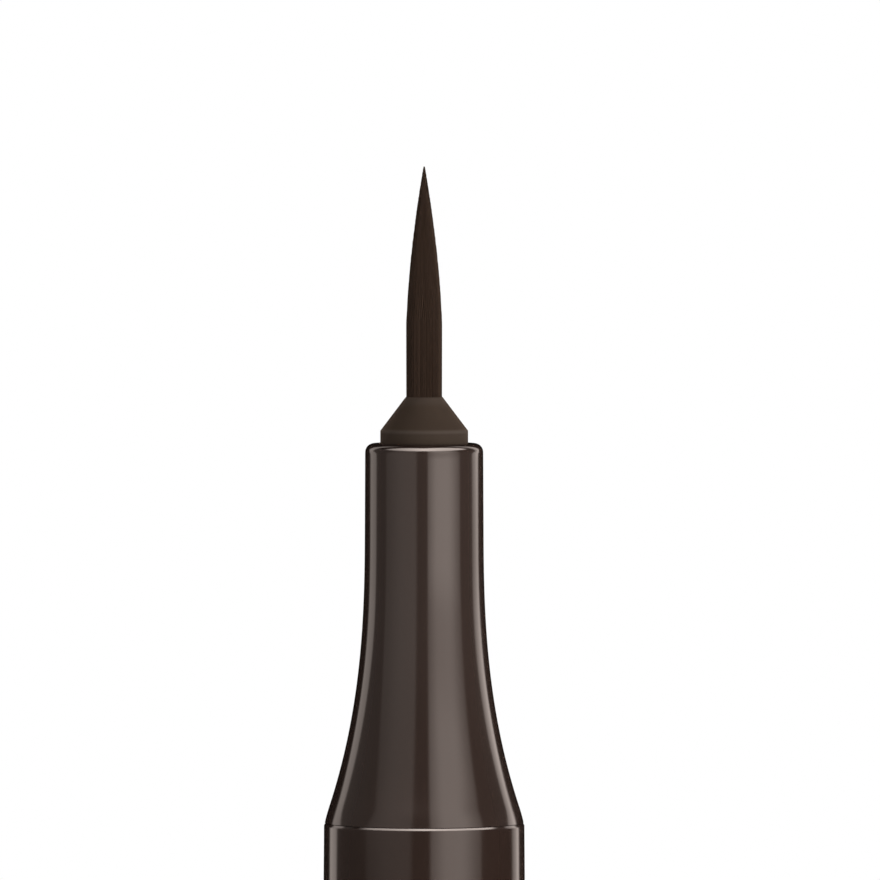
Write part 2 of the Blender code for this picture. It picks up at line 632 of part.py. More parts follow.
def make_tank_joint(body):
    """The plug that closes the tank's mouth and lets the collector's stem through."""
    top = JOINT_FLANGE_TOP - JOINT_BOTTOM
    groove_bottom = JOINT_PLUG_LENGTH * SEAL_DEPTH_SHARE - SEAL_GROOVE_WIDTH / 2
    depth = JOINT_PLUG_RADIUS - SEAL_GROOVE_RADIUS
    profile = [
        (JOINT_FLANGE_RADIUS, top),
        (JOINT_FLANGE_RADIUS, JOINT_PLUG_LENGTH),
        (JOINT_PLUG_RADIUS, JOINT_PLUG_LENGTH),
        *groove(JOINT_PLUG_RADIUS, depth, groove_bottom, SEAL_GROOVE_WIDTH),
        (JOINT_PLUG_RADIUS, JOINT_PLUG_CHAMFER),
        (JOINT_PLUG_RADIUS - JOINT_PLUG_CHAMFER, 0.0),
        (STEM_BORE_RADIUS, 0.0),
        (STEM_BORE_RADIUS, top),
    ]
    place(turned("tank_joint", profile, MEDIUM_FACETS), "white_plastic", body, JOINT_BOTTOM)


def make_tank_seal(body):
    """The O-ring in the joint's groove."""
    bpy.ops.mesh.primitive_torus_add(
        major_radius=SEAL_RADIUS,
        minor_radius=SEAL_SECTION_RADIUS,
        major_segments=MEDIUM_FACETS,
        minor_segments=SEAL_SECTION_FACETS,
    )
    ring = bpy.context.active_object
    ring.name = "tank_seal"
    ring.data.shade_smooth()
    place(ring, "black_rubber", body, JOINT_BOTTOM + JOINT_PLUG_LENGTH * SEAL_DEPTH_SHARE)


def make_ink_tank(body):
    """The closed tube that holds the ink and the stirring ball."""
    length = TANK_TOP - TANK_BOTTOM
    outer_edge = TANK_RADIUS - TANK_EDGE_RADIUS
    inner_edge = TANK_BORE_RADIUS - TANK_EDGE_RADIUS
    outside = [
        (TANK_RADIUS, length),
        *arc(outer_edge, TANK_EDGE_RADIUS, TANK_EDGE_RADIUS, 0, -90),
        (0.0, 0.0),
    ]
    inside = [
        (0.0, TANK_FLOOR),
        *reversed(arc(inner_edge, TANK_FLOOR + TANK_EDGE_RADIUS, TANK_EDGE_RADIUS, 0, -90)),
        (TANK_BORE_RADIUS, length),
    ]
    tank = turned("ink_tank", inside + outside, MEDIUM_FACETS)
    place(tank, "milky_plastic", body, TANK_BOTTOM)


def make_mixing_ball(body):
    """The steel ball that stirs the ink."""
    bpy.ops.mesh.primitive_uv_sphere_add(radius=BALL_RADIUS, segments=SMALL_FACETS, ring_count=BALL_RINGS)
    ball = bpy.context.active_object
    ball.name = "mixing_ball"
    ball.data.shade_smooth()
    place(ball, "steel", body, BALL_HEIGHT)


def make_tail_plug(body):
    """The plug at the tail: grooved body in the barrel, flange, and the post that the cap is pushed onto."""
    flange_bottom = POST_LENGTH + SEAT_GAP
    flange_top = flange_bottom + TAIL_FLANGE_THICKNESS
    top = flange_top + SEAT_GAP + TAIL_PLUG_LENGTH
    outside = [(TAIL_PLUG_RADIUS, top)]
    for share in reversed(TAIL_GROOVE_SHARES):
        bottom = flange_top + TAIL_PLUG_LENGTH * share - TAIL_GROOVE_WIDTH / 2
        outside += groove(TAIL_PLUG_RADIUS, TAIL_GROOVE_DEPTH, bottom, TAIL_GROOVE_WIDTH)
    outside += [
        (TAIL_PLUG_RADIUS, flange_top),
        (BARREL_RADIUS - BARREL_EDGE, flange_top),
        (BARREL_RADIUS, flange_top - BARREL_EDGE),
        (BARREL_RADIUS, flange_bottom + BARREL_EDGE),
        (BARREL_RADIUS - BARREL_EDGE, flange_bottom),
        (POST_RADIUS, flange_bottom),
        *arc(POST_RADIUS - POST_EDGE_RADIUS, POST_EDGE_RADIUS, POST_EDGE_RADIUS, 0, -90),
        (0.0, 0.0),
    ]
    inside = [
        (0.0, POST_END_WALL),
        (TAIL_BORE_RADIUS, POST_END_WALL),
        (TAIL_BORE_RADIUS, top - TANK_SOCKET_DEPTH),
        (TANK_SOCKET_RADIUS, top - TANK_SOCKET_DEPTH),
        (TANK_SOCKET_RADIUS, top),
    ]
    plug = turned("tail_plug", inside + outside, LARGE_FACETS)
    place(plug, "gloss_brown", body, CAP_LENGTH - POST_LENGTH)


def make_cap_shell(body):
    """The outer cap: closed end down, a boss inside for the spring, and a step that the retainer sits on."""
    edge = CAP_EDGE_RADIUS
    outside = [
        (CAP_MOUTH_RADIUS + CAP_MOUTH_CHAMFER, CAP_LENGTH),
        (BARREL_RADIUS - BARREL_EDGE, CAP_LENGTH),
        (BARREL_RADIUS, CAP_LENGTH - BARREL_EDGE),
        *arc(BARREL_RADIUS - edge, edge, edge, 0, -90, EDGE_STEPS),
        (0.0, 0.0),
    ]
    inside = [
        (0.0, CAP_END_WALL + CAP_BOSS_HEIGHT),
        (SPRING_GUIDE_RADIUS, CAP_END_WALL + CAP_BOSS_HEIGHT),
        (SPRING_GUIDE_RADIUS, CAP_END_WALL),
        (CAP_BORE_RADIUS, CAP_END_WALL),
        (CAP_BORE_RADIUS, RETAINER_BOTTOM - SEAT_GAP / 2),
        (CAP_MOUTH_RADIUS, RETAINER_BOTTOM - SEAT_GAP / 2),
        (CAP_MOUTH_RADIUS, CAP_LENGTH - CAP_MOUTH_CHAMFER),
    ]
    place(turned("cap_shell", inside + outside, LARGE_FACETS), "gloss_brown", body, 0.0)


def make_inner_cap(body):
    """The inner cap: a bore that grips the nose, a chamber for the brush, and a stub inside the spring."""
    mouth = INNER_CAP_MOUTH - INNER_CAP_BOTTOM
    stop = NOSE_STOP - INNER_CAP_BOTTOM
    flange_radius = CAP_BORE_RADIUS - SLIDE_CLEARANCE
    sleeve_radius = GRIP_RADIUS + INNER_CAP_WALL
    chamber_wall_radius = CHAMBER_RADIUS + INNER_CAP_WALL
    outside = [
        (GRIP_RADIUS + INNER_CAP_MOUTH_CHAMFER, mouth),
        (flange_radius, mouth),
        (flange_radius, mouth - INNER_CAP_FLANGE_THICKNESS),
        (sleeve_radius, mouth - INNER_CAP_FLANGE_THICKNESS),
        (sleeve_radius, stop - INNER_CAP_WALL),
        (chamber_wall_radius, stop - INNER_CAP_WALL),
        (chamber_wall_radius, 0.0),
        (SPRING_GUIDE_RADIUS, 0.0),
        (SPRING_GUIDE_RADIUS, -INNER_CAP_STUB_HEIGHT),
        (0.0, -INNER_CAP_STUB_HEIGHT),
    ]
    inside = [
        (0.0, INNER_CAP_END_WALL),
        (CHAMBER_RADIUS, INNER_CAP_END_WALL),
        (CHAMBER_RADIUS, stop),
        (GRIP_RADIUS, stop),
        (GRIP_RADIUS, mouth - INNER_CAP_MOUTH_CHAMFER),
    ]
    cap = turned("inner_cap", inside + outside, MEDIUM_FACETS)
    place(cap, "white_plastic", body, INNER_CAP_BOTTOM)


def make_inner_cap_retainer(body):
    """The snap ring that keeps the inner cap in the shell."""
    outer = CAP_MOUTH_RADIUS - SLIDE_CLEARANCE
    profile = [
        (outer, RETAINER_THICKNESS),
        (outer, 0.0),
        (RETAINER_BORE_RADIUS, 0.0),
        (RETAINER_BORE_RADIUS, RETAINER_THICKNESS),
    ]
    place(turned("inner_cap_retainer", profile, MEDIUM_FACETS), "white_plastic", body, RETAINER_BOTTOM)


def spring_points():
    """The spring's centreline: a helix that climbs evenly from the cap's floor to the inner cap."""
    rise = SPRING_LENGTH - 2 * (SPRING_WIRE_RADIUS + SEAT_GAP)
    count = SPRING_TURNS * SPRING_POINTS_PER_TURN
    points = []
    for i in range(count + 1):
        turn = math.tau * i / SPRING_POINTS_PER_TURN
        height = SPRING_WIRE_RADIUS + SEAT_GAP + rise * i / count
        points.append((SPRING_RADIUS * math.cos(turn), SPRING_RADIUS * math.sin(turn), height))
    return points


def make_inner_cap_spring(body):
    """The wire spring behind the inner cap."""
    wire = bpy.data.curves.new("inner_cap_spring", "CURVE")
    wire.dimensions = "3D"
    wire.bevel_depth = SPRING_WIRE_RADIUS
    wire.bevel_resolution = 1
    wire.use_fill_caps = True
    points = spring_points()
    spline = wire.splines.new("POLY")
    spline.points.add(len(points) - 1)
    for point, place_on_helix in zip(spline.points, points):
        point.co = (*place_on_helix, 1.0)
    spring = bpy.data.objects.new("inner_cap_spring", wire)
    bpy.context.scene.collection.objects.link(spring)
    place(spring, "steel", body, CAP_END_WALL)


def least_spring_gap():
    """The least distance between two turns' wires, measured between points half a turn or more apart."""
    points = spring_points()
    apart = SPRING_POINTS_PER_TURN // 2
    distances = [math.dist(p, q) for i, p in enumerate(points) for q in points[i + apart :]]
    return min(distances) - 2 * SPRING_WIRE_RADIUS


def main():
    clear_scene()
    pen_collection = new_collection("eyebrow_pen")
    new_collection("cutters")
    cap = new_body("cap_body", 0.0, pen_collection)
    inner_cap = new_body("inner_cap_body", INNER_CAP_BOTTOM, pen_collection)
    pen = new_body("pen_body", CAP_LENGTH, pen_collection)
    ball = new_body("ball_body", BALL_HEIGHT, pen_collection)

    make_cap_shell(cap)
    make_inner_cap_retainer(cap)
    make_inner_cap_spring(cap)
    make_inner_cap(inner_cap)
    make_tail_plug(pen)
    make_barrel(pen)
    make_ink_tank(pen)
    make_mixing_ball(ball)
    make_tank_joint(pen)
    make_tank_seal(pen)
    make_collector(pen)
    make_relay_core(pen)
    make_core_pipe(pen)
    make_brush_retainer(pen)
    make_brush(pen)
    make_brush_holder(pen)
    make_front_section(pen)

    print(f"least gap between bristles {least_bristle_gap() / MM:.3f} mm")
    print(f"least gap between spring turns {least_spring_gap() / MM:.3f} mm")
    print(f"cap {CAP_LENGTH / MM:.2f}, seam {SEAM_HEIGHT / MM:.2f}, tip {BRUSH_TIP_HEIGHT / MM:.2f} mm")
    print(f"{FIN_COUNT} collector fins, {BRISTLE_COUNT} bristles of {BRISTLE_RADIUS / MM:.4f} mm radius")


main()
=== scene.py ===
# %% [markdown]
# # Dressing a liquid eyebrow pen
# The pen is already an engineer's model: seventeen solids that slide on each other. This lesson loads that
# model as a fixed frame and dresses it: each turned part gets a finer surface with the small rounds that a
# mould leaves, the brush gets its fine bristles, and every part gets a finish made of noise and simple
# shader maths.

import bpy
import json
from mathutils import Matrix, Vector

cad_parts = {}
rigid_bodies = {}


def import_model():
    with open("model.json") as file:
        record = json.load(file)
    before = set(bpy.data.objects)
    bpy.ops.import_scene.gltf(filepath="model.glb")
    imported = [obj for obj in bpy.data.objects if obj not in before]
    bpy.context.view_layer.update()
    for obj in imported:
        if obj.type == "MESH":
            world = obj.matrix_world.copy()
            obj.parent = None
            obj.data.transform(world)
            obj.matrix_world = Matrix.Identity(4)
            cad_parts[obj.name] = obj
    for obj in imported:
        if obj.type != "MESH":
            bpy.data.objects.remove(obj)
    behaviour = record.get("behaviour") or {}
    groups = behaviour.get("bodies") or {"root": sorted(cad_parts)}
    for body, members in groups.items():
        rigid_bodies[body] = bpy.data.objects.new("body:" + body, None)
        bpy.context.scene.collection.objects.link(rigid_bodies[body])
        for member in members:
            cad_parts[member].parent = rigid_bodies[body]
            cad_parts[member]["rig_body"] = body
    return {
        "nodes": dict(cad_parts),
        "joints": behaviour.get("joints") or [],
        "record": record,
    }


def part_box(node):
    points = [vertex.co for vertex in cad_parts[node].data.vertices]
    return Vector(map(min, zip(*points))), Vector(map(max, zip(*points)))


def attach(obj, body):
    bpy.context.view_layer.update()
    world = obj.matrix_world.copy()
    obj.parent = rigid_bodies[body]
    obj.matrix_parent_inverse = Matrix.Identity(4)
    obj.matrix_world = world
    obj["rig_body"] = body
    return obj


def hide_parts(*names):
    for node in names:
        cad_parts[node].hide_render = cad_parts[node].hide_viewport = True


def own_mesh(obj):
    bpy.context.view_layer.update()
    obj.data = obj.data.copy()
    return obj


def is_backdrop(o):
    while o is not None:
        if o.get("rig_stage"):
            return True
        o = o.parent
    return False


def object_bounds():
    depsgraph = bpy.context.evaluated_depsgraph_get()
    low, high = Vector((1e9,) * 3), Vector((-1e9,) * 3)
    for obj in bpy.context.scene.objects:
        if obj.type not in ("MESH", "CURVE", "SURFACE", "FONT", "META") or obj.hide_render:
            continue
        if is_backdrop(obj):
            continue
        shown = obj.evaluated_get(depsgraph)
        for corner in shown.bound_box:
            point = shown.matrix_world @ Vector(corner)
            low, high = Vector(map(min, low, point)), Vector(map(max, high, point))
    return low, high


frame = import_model()
cad_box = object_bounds()

# %% [markdown]
# ## Measuring the solids
# Every fine piece has to sit where its solid was. Its place could be typed in again from the drawing, but
# read from the solid's own box it stays right when the drawing changes. The pen is round about the Z axis,
# so three numbers say most about a solid: its top, its foot and how far it reaches out.

# %% Units and measures
import json
import math

import bpy
import numpy as np

MM = 0.001
SLOT_OF = {row["node"]: row["material_slot"] for row in frame["record"]["subparts"]}


def top_of(node):
    """Height in millimetres of a solid's upper end."""
    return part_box(node)[1].z / MM


def foot_of(node):
    """Height in millimetres of a solid's lower end."""
    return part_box(node)[0].z / MM


def reach_of(node):
    """Largest radius in millimetres of a solid that is round about the Z axis."""
    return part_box(node)[1].x / MM


print("the pen is", round(top_of("brush"), 2), "mm tall and", round(2 * reach_of("barrel"), 2), "mm thick")

# %% [markdown]
# ## The camera
# The reflections' ends and the seam's slight curve show that the camera stood a little above the brush's
# root and looked down by about two degrees, from more than half a metre away through a long lens. A wide
# lens close by could frame the pen as well, but only a long one keeps the barrel's sides as parallel as in
# the photograph.

# %% Camera
CAMERA_DISTANCE = 0.685
CAMERA_TILT = math.radians(1.8)
VIEW_WIDTH = 43.70 * MM
VIEW_CENTRE_X = 0.785 * MM
VIEW_CENTRE_HEIGHT = 146.64 * MM
SENSOR_WIDTH = 36.0

camera_data = bpy.data.cameras.new("camera")
camera_data.sensor_width = SENSOR_WIDTH
camera_data.lens = SENSOR_WIDTH * CAMERA_DISTANCE / VIEW_WIDTH
camera_data.clip_start = 0.01
camera_data.clip_end = 100.0
camera = bpy.data.objects.new("camera", camera_data)
bpy.context.scene.collection.objects.link(camera)
camera.location = (
    VIEW_CENTRE_X,
    -CAMERA_DISTANCE * math.cos(CAMERA_TILT),
    VIEW_CENTRE_HEIGHT + CAMERA_DISTANCE * math.sin(CAMERA_TILT),
)
camera.rotation_euler = (math.radians(90.0) - CAMERA_TILT, 0.0, 0.0)
bpy.context.scene.camera = camera
bpy.context.scene.view_settings.view_transform = "Standard"
print("the lens is", round(camera_data.lens), "mm long")

# %% [markdown]
# ## Surfaces from arrays
# Nearly every part of a pen is turned, so its whole shape is one profile carried round the axis. A modifier
# could spin it, but in numpy the surface is a plain formula, and the same grid builder also makes the
# spring, the rubber ring and all the bristles at once.

# %% A mesh from grids of points
TRIANGLE_LIMIT = 200_000
POLE_SPREAD = 1e-7
SHARP_ANGLE = math.radians(35.0)


def grid_piece(name, points, ring=False):
    """A closed mesh from an array of points (copies, rows, columns, 3), in millimetres.

    Columns always close into a ring. Rows run from end to end, or close as well where ring is true. A row
    whose points all lie in one place becomes a pole with triangles round it. Where the signed volume, the
    sum of a . (b x c) / 6 over the triangles, is negative, the faces are turned to point outwards.
    """
    copies, rows, columns, _ = points.shape
    index = np.arange(copies * rows * columns).reshape(copies, rows, columns)
    pole = np.ptp(points, axis=2).max(axis=-1) < POLE_SPREAD
    index = np.where(pole[:, :, None], index[:, :, :1], index)
    upper = index if ring else index[:, :-1]
    lower = np.roll(index, -1, axis=1) if ring else index[:, 1:]
    loops = [upper, lower, np.roll(lower, -1, axis=2), np.roll(upper, -1, axis=2)]
    quads = np.stack(loops, axis=-1).reshape(-1, 4)
    flat_top = quads[:, 0] == quads[:, 3]
    flat_foot = quads[:, 1] == quads[:, 2]
    triangles = np.concatenate([quads[flat_top][:, :3], quads[flat_foot][:, [0, 1, 3]]])
    quads = quads[~flat_top & ~flat_foot]

    places = points.reshape(-1, 3)
    fans = np.concatenate([quads[:, [0, 1, 2]], quads[:, [0, 2, 3]], triangles])
    corners = places[fans]
    volume = np.einsum("ij,ij->", corners[:, 0], np.cross(corners[:, 1], corners[:, 2])) / 6.0
    if volume < 0.0:
        quads, triangles = quads[:, ::-1], triangles[:, ::-1]

    all_corners = np.concatenate([quads.ravel(), triangles.ravel()])
    used, inverse = np.unique(all_corners, return_inverse=True)
    quads = inverse[: quads.size].reshape(-1, 4)
    triangles = inverse[quads.size :].reshape(-1, 3)
    mesh = bpy.data.meshes.new(name)
    mesh.from_pydata((places[used] * MM).tolist(), [], quads.tolist() + triangles.tolist())
    mesh.shade_smooth()
    mesh.set_sharp_from_angle(angle=SHARP_ANGLE)
    piece = bpy.data.objects.new(name, mesh)
    bpy.context.scene.collection.objects.link(piece)
    count = len(fans)
    assert count < TRIANGLE_LIMIT, name
    print(f"{name}: {count} triangles, {abs(volume):.1f} cubic mm")
    return piece


# %% [markdown]
# ### Rounded corners
# No moulded edge is quite sharp: each has a small round that catches a line of light. A Bevel modifier
# could cut them on the finished mesh, but with one radius for all. Here a profile lists its corners, each
# with a radius of its own, and every corner becomes an arc before the profile is carried round.

# %% A profile with rounded corners
ARC_STEPS = 7
HOLD_SHARE = 0.12
NEVER_ZERO = 1e-9
DOUBLE_GAP = 1e-5


def eased(corners):
    """Profile points from (radius, height, round) corners, where each round is the radius of an arc.

    With unit directions a and b towards the neighbours and T = pi - the angle between them, the arc starts
    round * tan(T / 2) along a, ends as far along b, and its points turn evenly about the centre.
    One more point is held close before and behind each arc, so that shading stays even on the long sides.
    """
    data = np.array(corners, float)
    corner, size = data[:, None, :2], data[:, None, 2:]
    before, behind = np.roll(corner, 1, axis=0) - corner, np.roll(corner, -1, axis=0) - corner
    a = before / np.linalg.norm(before, axis=2, keepdims=True)
    b = behind / np.linalg.norm(behind, axis=2, keepdims=True)
    turn = np.pi - np.arccos(np.clip((a * b).sum(axis=2, keepdims=True), -1.0, 1.0))
    reach = size * np.tan(turn / 2.0)
    middle = a + b
    middle = middle / np.maximum(np.linalg.norm(middle, axis=2, keepdims=True), NEVER_ZERO)
    centre = corner + middle * size / np.maximum(np.cos(turn / 2.0), NEVER_ZERO)
    first, last = corner + a * reach - centre, corner + b * reach - centre
    share = np.linspace(0.0, 1.0, ARC_STEPS + 1)[None, :, None]
    swing = np.sin((1 - share) * turn) * first + np.sin(share * turn) * last
    curve = centre + swing / np.maximum(np.sin(turn), NEVER_ZERO)
    curve = np.where(size > 0.0, curve, corner)
    hold = reach * (1.0 + HOLD_SHARE)
    points = np.concatenate([corner + a * hold, curve, corner + b * hold], axis=1).reshape(-1, 2)
    step = np.linalg.norm(points - np.roll(points, 1, axis=0), axis=1)
    return points[step > DOUBLE_GAP]


square = eased([(0, 0, 0), (1, 0, 0.1), (1, 1, 0), (0, 1, 0)])
print("a square corner of 0.1 mm gets", len(square) - 3, "points")

# %% Carry a profile round the axis
FINE_TURN = 224
INNER_TURN = 160
PLAIN_TURN = 96
SMALL_TURN = 64
ON_AXIS = 1e-6


def turned(name, profile, sides=FINE_TURN):
    """Carries (radius, height) points round Z: x = radius * sin(turn), y = -radius * cos(turn), z = height.

    A profile with both ends on the axis runs from pole to pole. Any other closes into a ring.
    """
    profile = np.asarray(profile, float)
    turn = np.linspace(0.0, 2.0 * np.pi, sides, endpoint=False)
    radius, height = profile[:, :1], profile[:, 1:]
    level = np.broadcast_to(height, (len(profile), sides))
    points = np.stack([radius * np.sin(turn), -radius * np.cos(turn), level], axis=-1)
    closed_by_axis = bool(profile[0, 0] < ON_AXIS and profile[-1, 0] < ON_AXIS)
    return grid_piece(name, points[None], ring=not closed_by_axis)


def from_axis(corners):
    """Eases a profile that starts and ends on the axis, keeping both ends where they are."""
    points = eased(corners)
    start, end = np.array(corners[0][:2]), np.array(corners[-1][:2])
    off_axis = points[points[:, 0] > ON_AXIS]
    return np.concatenate([[start], off_axis, [end]])


# %% Carry a circle along a path
END_TILT = np.array([90.0, 60.0, 30.0]) * np.pi / 180.0


def swept(name, path, size, columns, side, ring=False):
    """Carries a circle along a path: point + size * (cos(turn) * side + sin(turn) * (tangent x side)).

    Where the path has ends, each is closed by a rounded cap of three rings, radius size * cos(tilt).
    """
    tangent = np.roll(path, -1, axis=0) - np.roll(path, 1, axis=0) if ring else np.gradient(path, axis=0)
    tangent = tangent / np.linalg.norm(tangent, axis=1, keepdims=True)
    radius = np.full(len(path), float(size))
    if not ring:
        outer, inner = END_TILT, END_TILT[::-1]
        start = path[0] - np.outer(np.sin(outer), tangent[0]) * size
        end = path[-1] + np.outer(np.sin(inner), tangent[-1]) * size
        path = np.concatenate([start, path, end])
        radius = np.concatenate([size * np.cos(outer), radius, size * np.cos(inner)])
        rings = len(END_TILT)
        side = np.concatenate([side[:1].repeat(rings, axis=0), side, side[-1:].repeat(rings, axis=0)])
        first, last = tangent[:1].repeat(rings, axis=0), tangent[-1:].repeat(rings, axis=0)
        tangent = np.concatenate([first, tangent, last])
    other = np.cross(tangent, side)
    turn = np.linspace(0.0, 2.0 * np.pi, columns, endpoint=False)[None, :, None]
    across = np.cos(turn) * side[:, None] + np.sin(turn) * other[:, None]
    points = path[:, None] + radius[:, None, None] * across
    return grid_piece(name, points[None], ring=ring)


# %% [markdown]
# ## Shader maths
# A finish is a recipe of noise, streaks and edges. Written as node calls such a recipe is long and hard to
# read, so one small class wraps an output socket and lets ordinary arithmetic add the Math nodes. Colours
# don't go through Math nodes, which would turn them grey: they are blended with Mix nodes.


# %% The class that wraps a socket
class Wire:
    """An output socket in a node tree. Arithmetic on wires adds Math nodes and gives new wires."""

    def __init__(self, tree, socket=None):
        self.tree = tree
        self.socket = socket

    def node(self, kind, settings, sockets, output=0):
        """Adds a node: its settings first, then its sockets' values or links."""
        made = self.tree.nodes.new(kind)
        for name, value in settings.items():
            setattr(made, name, value)
        for name, value in sockets.items():
            if isinstance(value, Wire):
                self.tree.links.new(value.socket, made.inputs[name])
            else:
                made.inputs[name].default_value = value
        return Wire(self.tree, made.outputs[output] if len(made.outputs) else None)

    def maths(self, operation, *values):
        """A Math node with these values."""
        return self.node("ShaderNodeMath", {"operation": operation}, dict(enumerate(values)))

    def __add__(self, other):
        return self.maths("ADD", self, other)

    def __radd__(self, other):
        return self.maths("ADD", other, self)

    def __sub__(self, other):
        return self.maths("SUBTRACT", self, other)

    def __rsub__(self, other):
        return self.maths("SUBTRACT", other, self)

    def __mul__(self, other):
        return self.maths("MULTIPLY", self, other)

    def __rmul__(self, other):
        return self.maths("MULTIPLY", other, self)

    def __truediv__(self, other):
        return self.maths("DIVIDE", self, other)

    def __pow__(self, other):
        return self.maths("POWER", self, other)

    def most(self, other):
        """The larger of two values."""
        return self.maths("MAXIMUM", self, other)

    def unsigned(self):
        """The value without its sign."""
        return self.maths("ABSOLUTE", self)

    def degrees_over(self, base):
        """The angle in degrees whose sine and cosine go as this value and the base."""
        return self.maths("ARCTAN2", self, base) * (180.0 / math.pi)

    def rise(self, low, high):
        """Rises smoothly from 0 where this value is low to 1 where it is high."""
        sockets = {"Value": self, "From Min": low, "From Max": high}
        return self.node("ShaderNodeMapRange", {"interpolation_type": "SMOOTHSTEP"}, sockets)

    def blend(self, first, second):
        """A colour: the first where this value is 0, the second where it is 1."""
        return self.node("ShaderNodeMix", {"data_type": "RGBA"}, {0: self, 6: first, 7: second}, 2)

    def axes(self):
        """The X, Y and Z of a place, as three wires."""
        split = self.node("ShaderNodeSeparateXYZ", {}, {"Vector": self})
        return [Wire(self.tree, socket) for socket in split.socket.node.outputs]

    def stretched(self, x, y, z):
        """The same place with each axis multiplied, which draws a pattern out into streaks."""
        return self.node("ShaderNodeMapping", {}, {"Vector": self, "Scale": (x, y, z)})

    def noise(self, size, detail=3.0, rough=0.5):
        """Soft random blotches about one size across, in metres, from 0 to 1, at this place."""
        sockets = {"Vector": self, "Scale": 1.0 / size, "Detail": detail, "Roughness": rough}
        return self.node("ShaderNodeTexNoise", {}, sockets, "Fac")

    def bump(self, depth):
        """A normal that makes this value, from 0 to 1, look that many metres deep."""
        return self.node("ShaderNodeBump", {}, {"Height": self, "Distance": depth}, "Normal")


# %% A blank material
def blank_material(name):
    """A new material without nodes, and a wire that gives the place on its piece, in metres."""
    material = bpy.data.materials.new(name)
    material.use_nodes = True
    material.node_tree.nodes.clear()
    return material, Wire(material.node_tree).node("ShaderNodeTexCoord", {}, {}, "Object")


# %% [markdown]
# ## The studio
# The photograph has a plain white background and, in the gloss, the mirror images of a few light panels.
# Area lamps alone would leave hard-edged images, and one bright backdrop would light the pen too. So the
# work is shared out: the world is white to the camera, a few large lamps light the colours at a plain
# level, and a tent round the pen, which only reflections see, carries the panels as a product
# photographer's tent does.

# %% World: white to the camera, a mild even light to everything else
AMBIENT_LIGHT = 0.20
WHITE = (1.0, 1.0, 1.0, 1.0)

world = bpy.data.worlds.new("studio")
world.use_nodes = True
world.node_tree.nodes.clear()
bpy.context.scene.world = world


def background_share(tree):
    """1 for the rays that show a background: camera rays, reflections and light that passes through."""
    kinds = Wire(tree).node("ShaderNodeLightPath", {}, {}).socket.node.outputs
    names = ("Is Camera Ray", "Is Glossy Ray", "Is Transmission Ray")
    seen, mirrored, passed = (Wire(tree, kinds[name]) for name in names)
    return seen.most(mirrored).most(passed)


shown = background_share(world.node_tree)
strength = AMBIENT_LIGHT + shown * (1.0 - AMBIENT_LIGHT)
sky = shown.node("ShaderNodeBackground", {}, {"Color": WHITE, "Strength": strength})
sky.node("ShaderNodeOutputWorld", {}, {"Surface": sky})
print("the world gives", AMBIENT_LIGHT, "of a full light from every side")

# %% [markdown]
# ### The floor
# The pen stands on pale card. A card that ends would show its edge against the white, and one made white
# all over would lose the pen's shadow. So it is very wide, keeps its shadow near the pen and fades to plain
# white further out, for the rays that show a background.

# %% Floor: pale, with the pen's shadow, and white further out
FLOOR_RADIUS = 1500.0
FLOOR_THICKNESS = 2.0
FLOOR_COLOUR = (0.86, 0.86, 0.86, 1.0)
SHADOW_RADIUS = 0.05
SHADOW_FADE = 0.24

floor = turned("floor", [
    (0, 0),
    (FLOOR_RADIUS, 0),
    (FLOOR_RADIUS, -FLOOR_THICKNESS),
    (0, -FLOOR_THICKNESS),
], PLAIN_TURN)
card, place = blank_material("pale_floor")
floor.data.materials.append(card)
shown = background_share(place.tree)
away = place.node("ShaderNodeVectorMath", {"operation": "LENGTH"}, {0: place}, "Value")
paint = place.node("ShaderNodeBsdfDiffuse", {}, {"Color": FLOOR_COLOUR})
white = place.node("ShaderNodeEmission", {}, {"Color": WHITE, "Strength": 1.0})
share = away.rise(SHADOW_RADIUS, SHADOW_FADE) * shown
surface = place.node("ShaderNodeMixShader", {}, {0: share, 1: paint, 2: white})
place.node("ShaderNodeOutputMaterial", {}, {"Surface": surface})
floor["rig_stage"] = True

# %% [markdown]
# ### The lamps
# The brush and the cone are matt, so only lamps shape them: in the photograph they are lighter on the
# right, and their left edge stays dark. Small lamps would draw hard shadows, so four large squares are
# used, and they show in no mirror image, because the tent makes those.

# %% Lamps: place in metres, size in metres and power in watts
LAMPS = {
    "key": ((0.60, -0.47, 0.16), 0.40, 6.0),
    "fill": ((-0.45, -0.55, 0.16), 0.50, 1.5),
    "back": ((-0.12, 0.72, 0.30), 0.50, 4.0),
    "top": ((0.0, 0.0, 0.85), 0.60, 0.4),
}
AIM_HEIGHT = 0.12


def add_lamp(name, position, size, power):
    """A square area lamp that faces the pen and shows in no mirror image. Gives its distance."""
    data = bpy.data.lights.new(name, "AREA")
    data.size = size
    data.energy = power
    lamp = bpy.data.objects.new(name, data)
    bpy.context.scene.collection.objects.link(lamp)
    lamp.location = position
    away = lamp.location.copy()
    away.z -= AIM_HEIGHT
    lamp.rotation_euler = away.to_track_quat("Z", "Y").to_euler()
    lamp.visible_camera = False
    lamp.visible_glossy = False
    return away.length


for name, (position, size, power) in LAMPS.items():
    distance = add_lamp(name, position, size, power)
    print(name, "lamp gives", round(power / (math.pi * distance) ** 2, 2), "of a full light at the pen")

# %% [markdown]
# ### The tent
# Polished plastic shows its surroundings more than its colour. Cards could be stood round the pen one by
# one, but in the photograph the panels' edges are soft and shift with height. So the inside of one dome
# glows by a recipe of two angles as seen from the nose: the turn about the pen, which is 0 towards the
# camera and grows to the right, and the height, which is 0 when level. An upright wall mirrors heights near
# 0, the flare sweeps from there to nearly 40 degrees, and the rims' round edges reach overhead.

# %% The dome
TENT_RADIUS = 250.0
TENT_WALL = 320.0
TENT_FOOT = -3.0
TENT_RINGS = 25

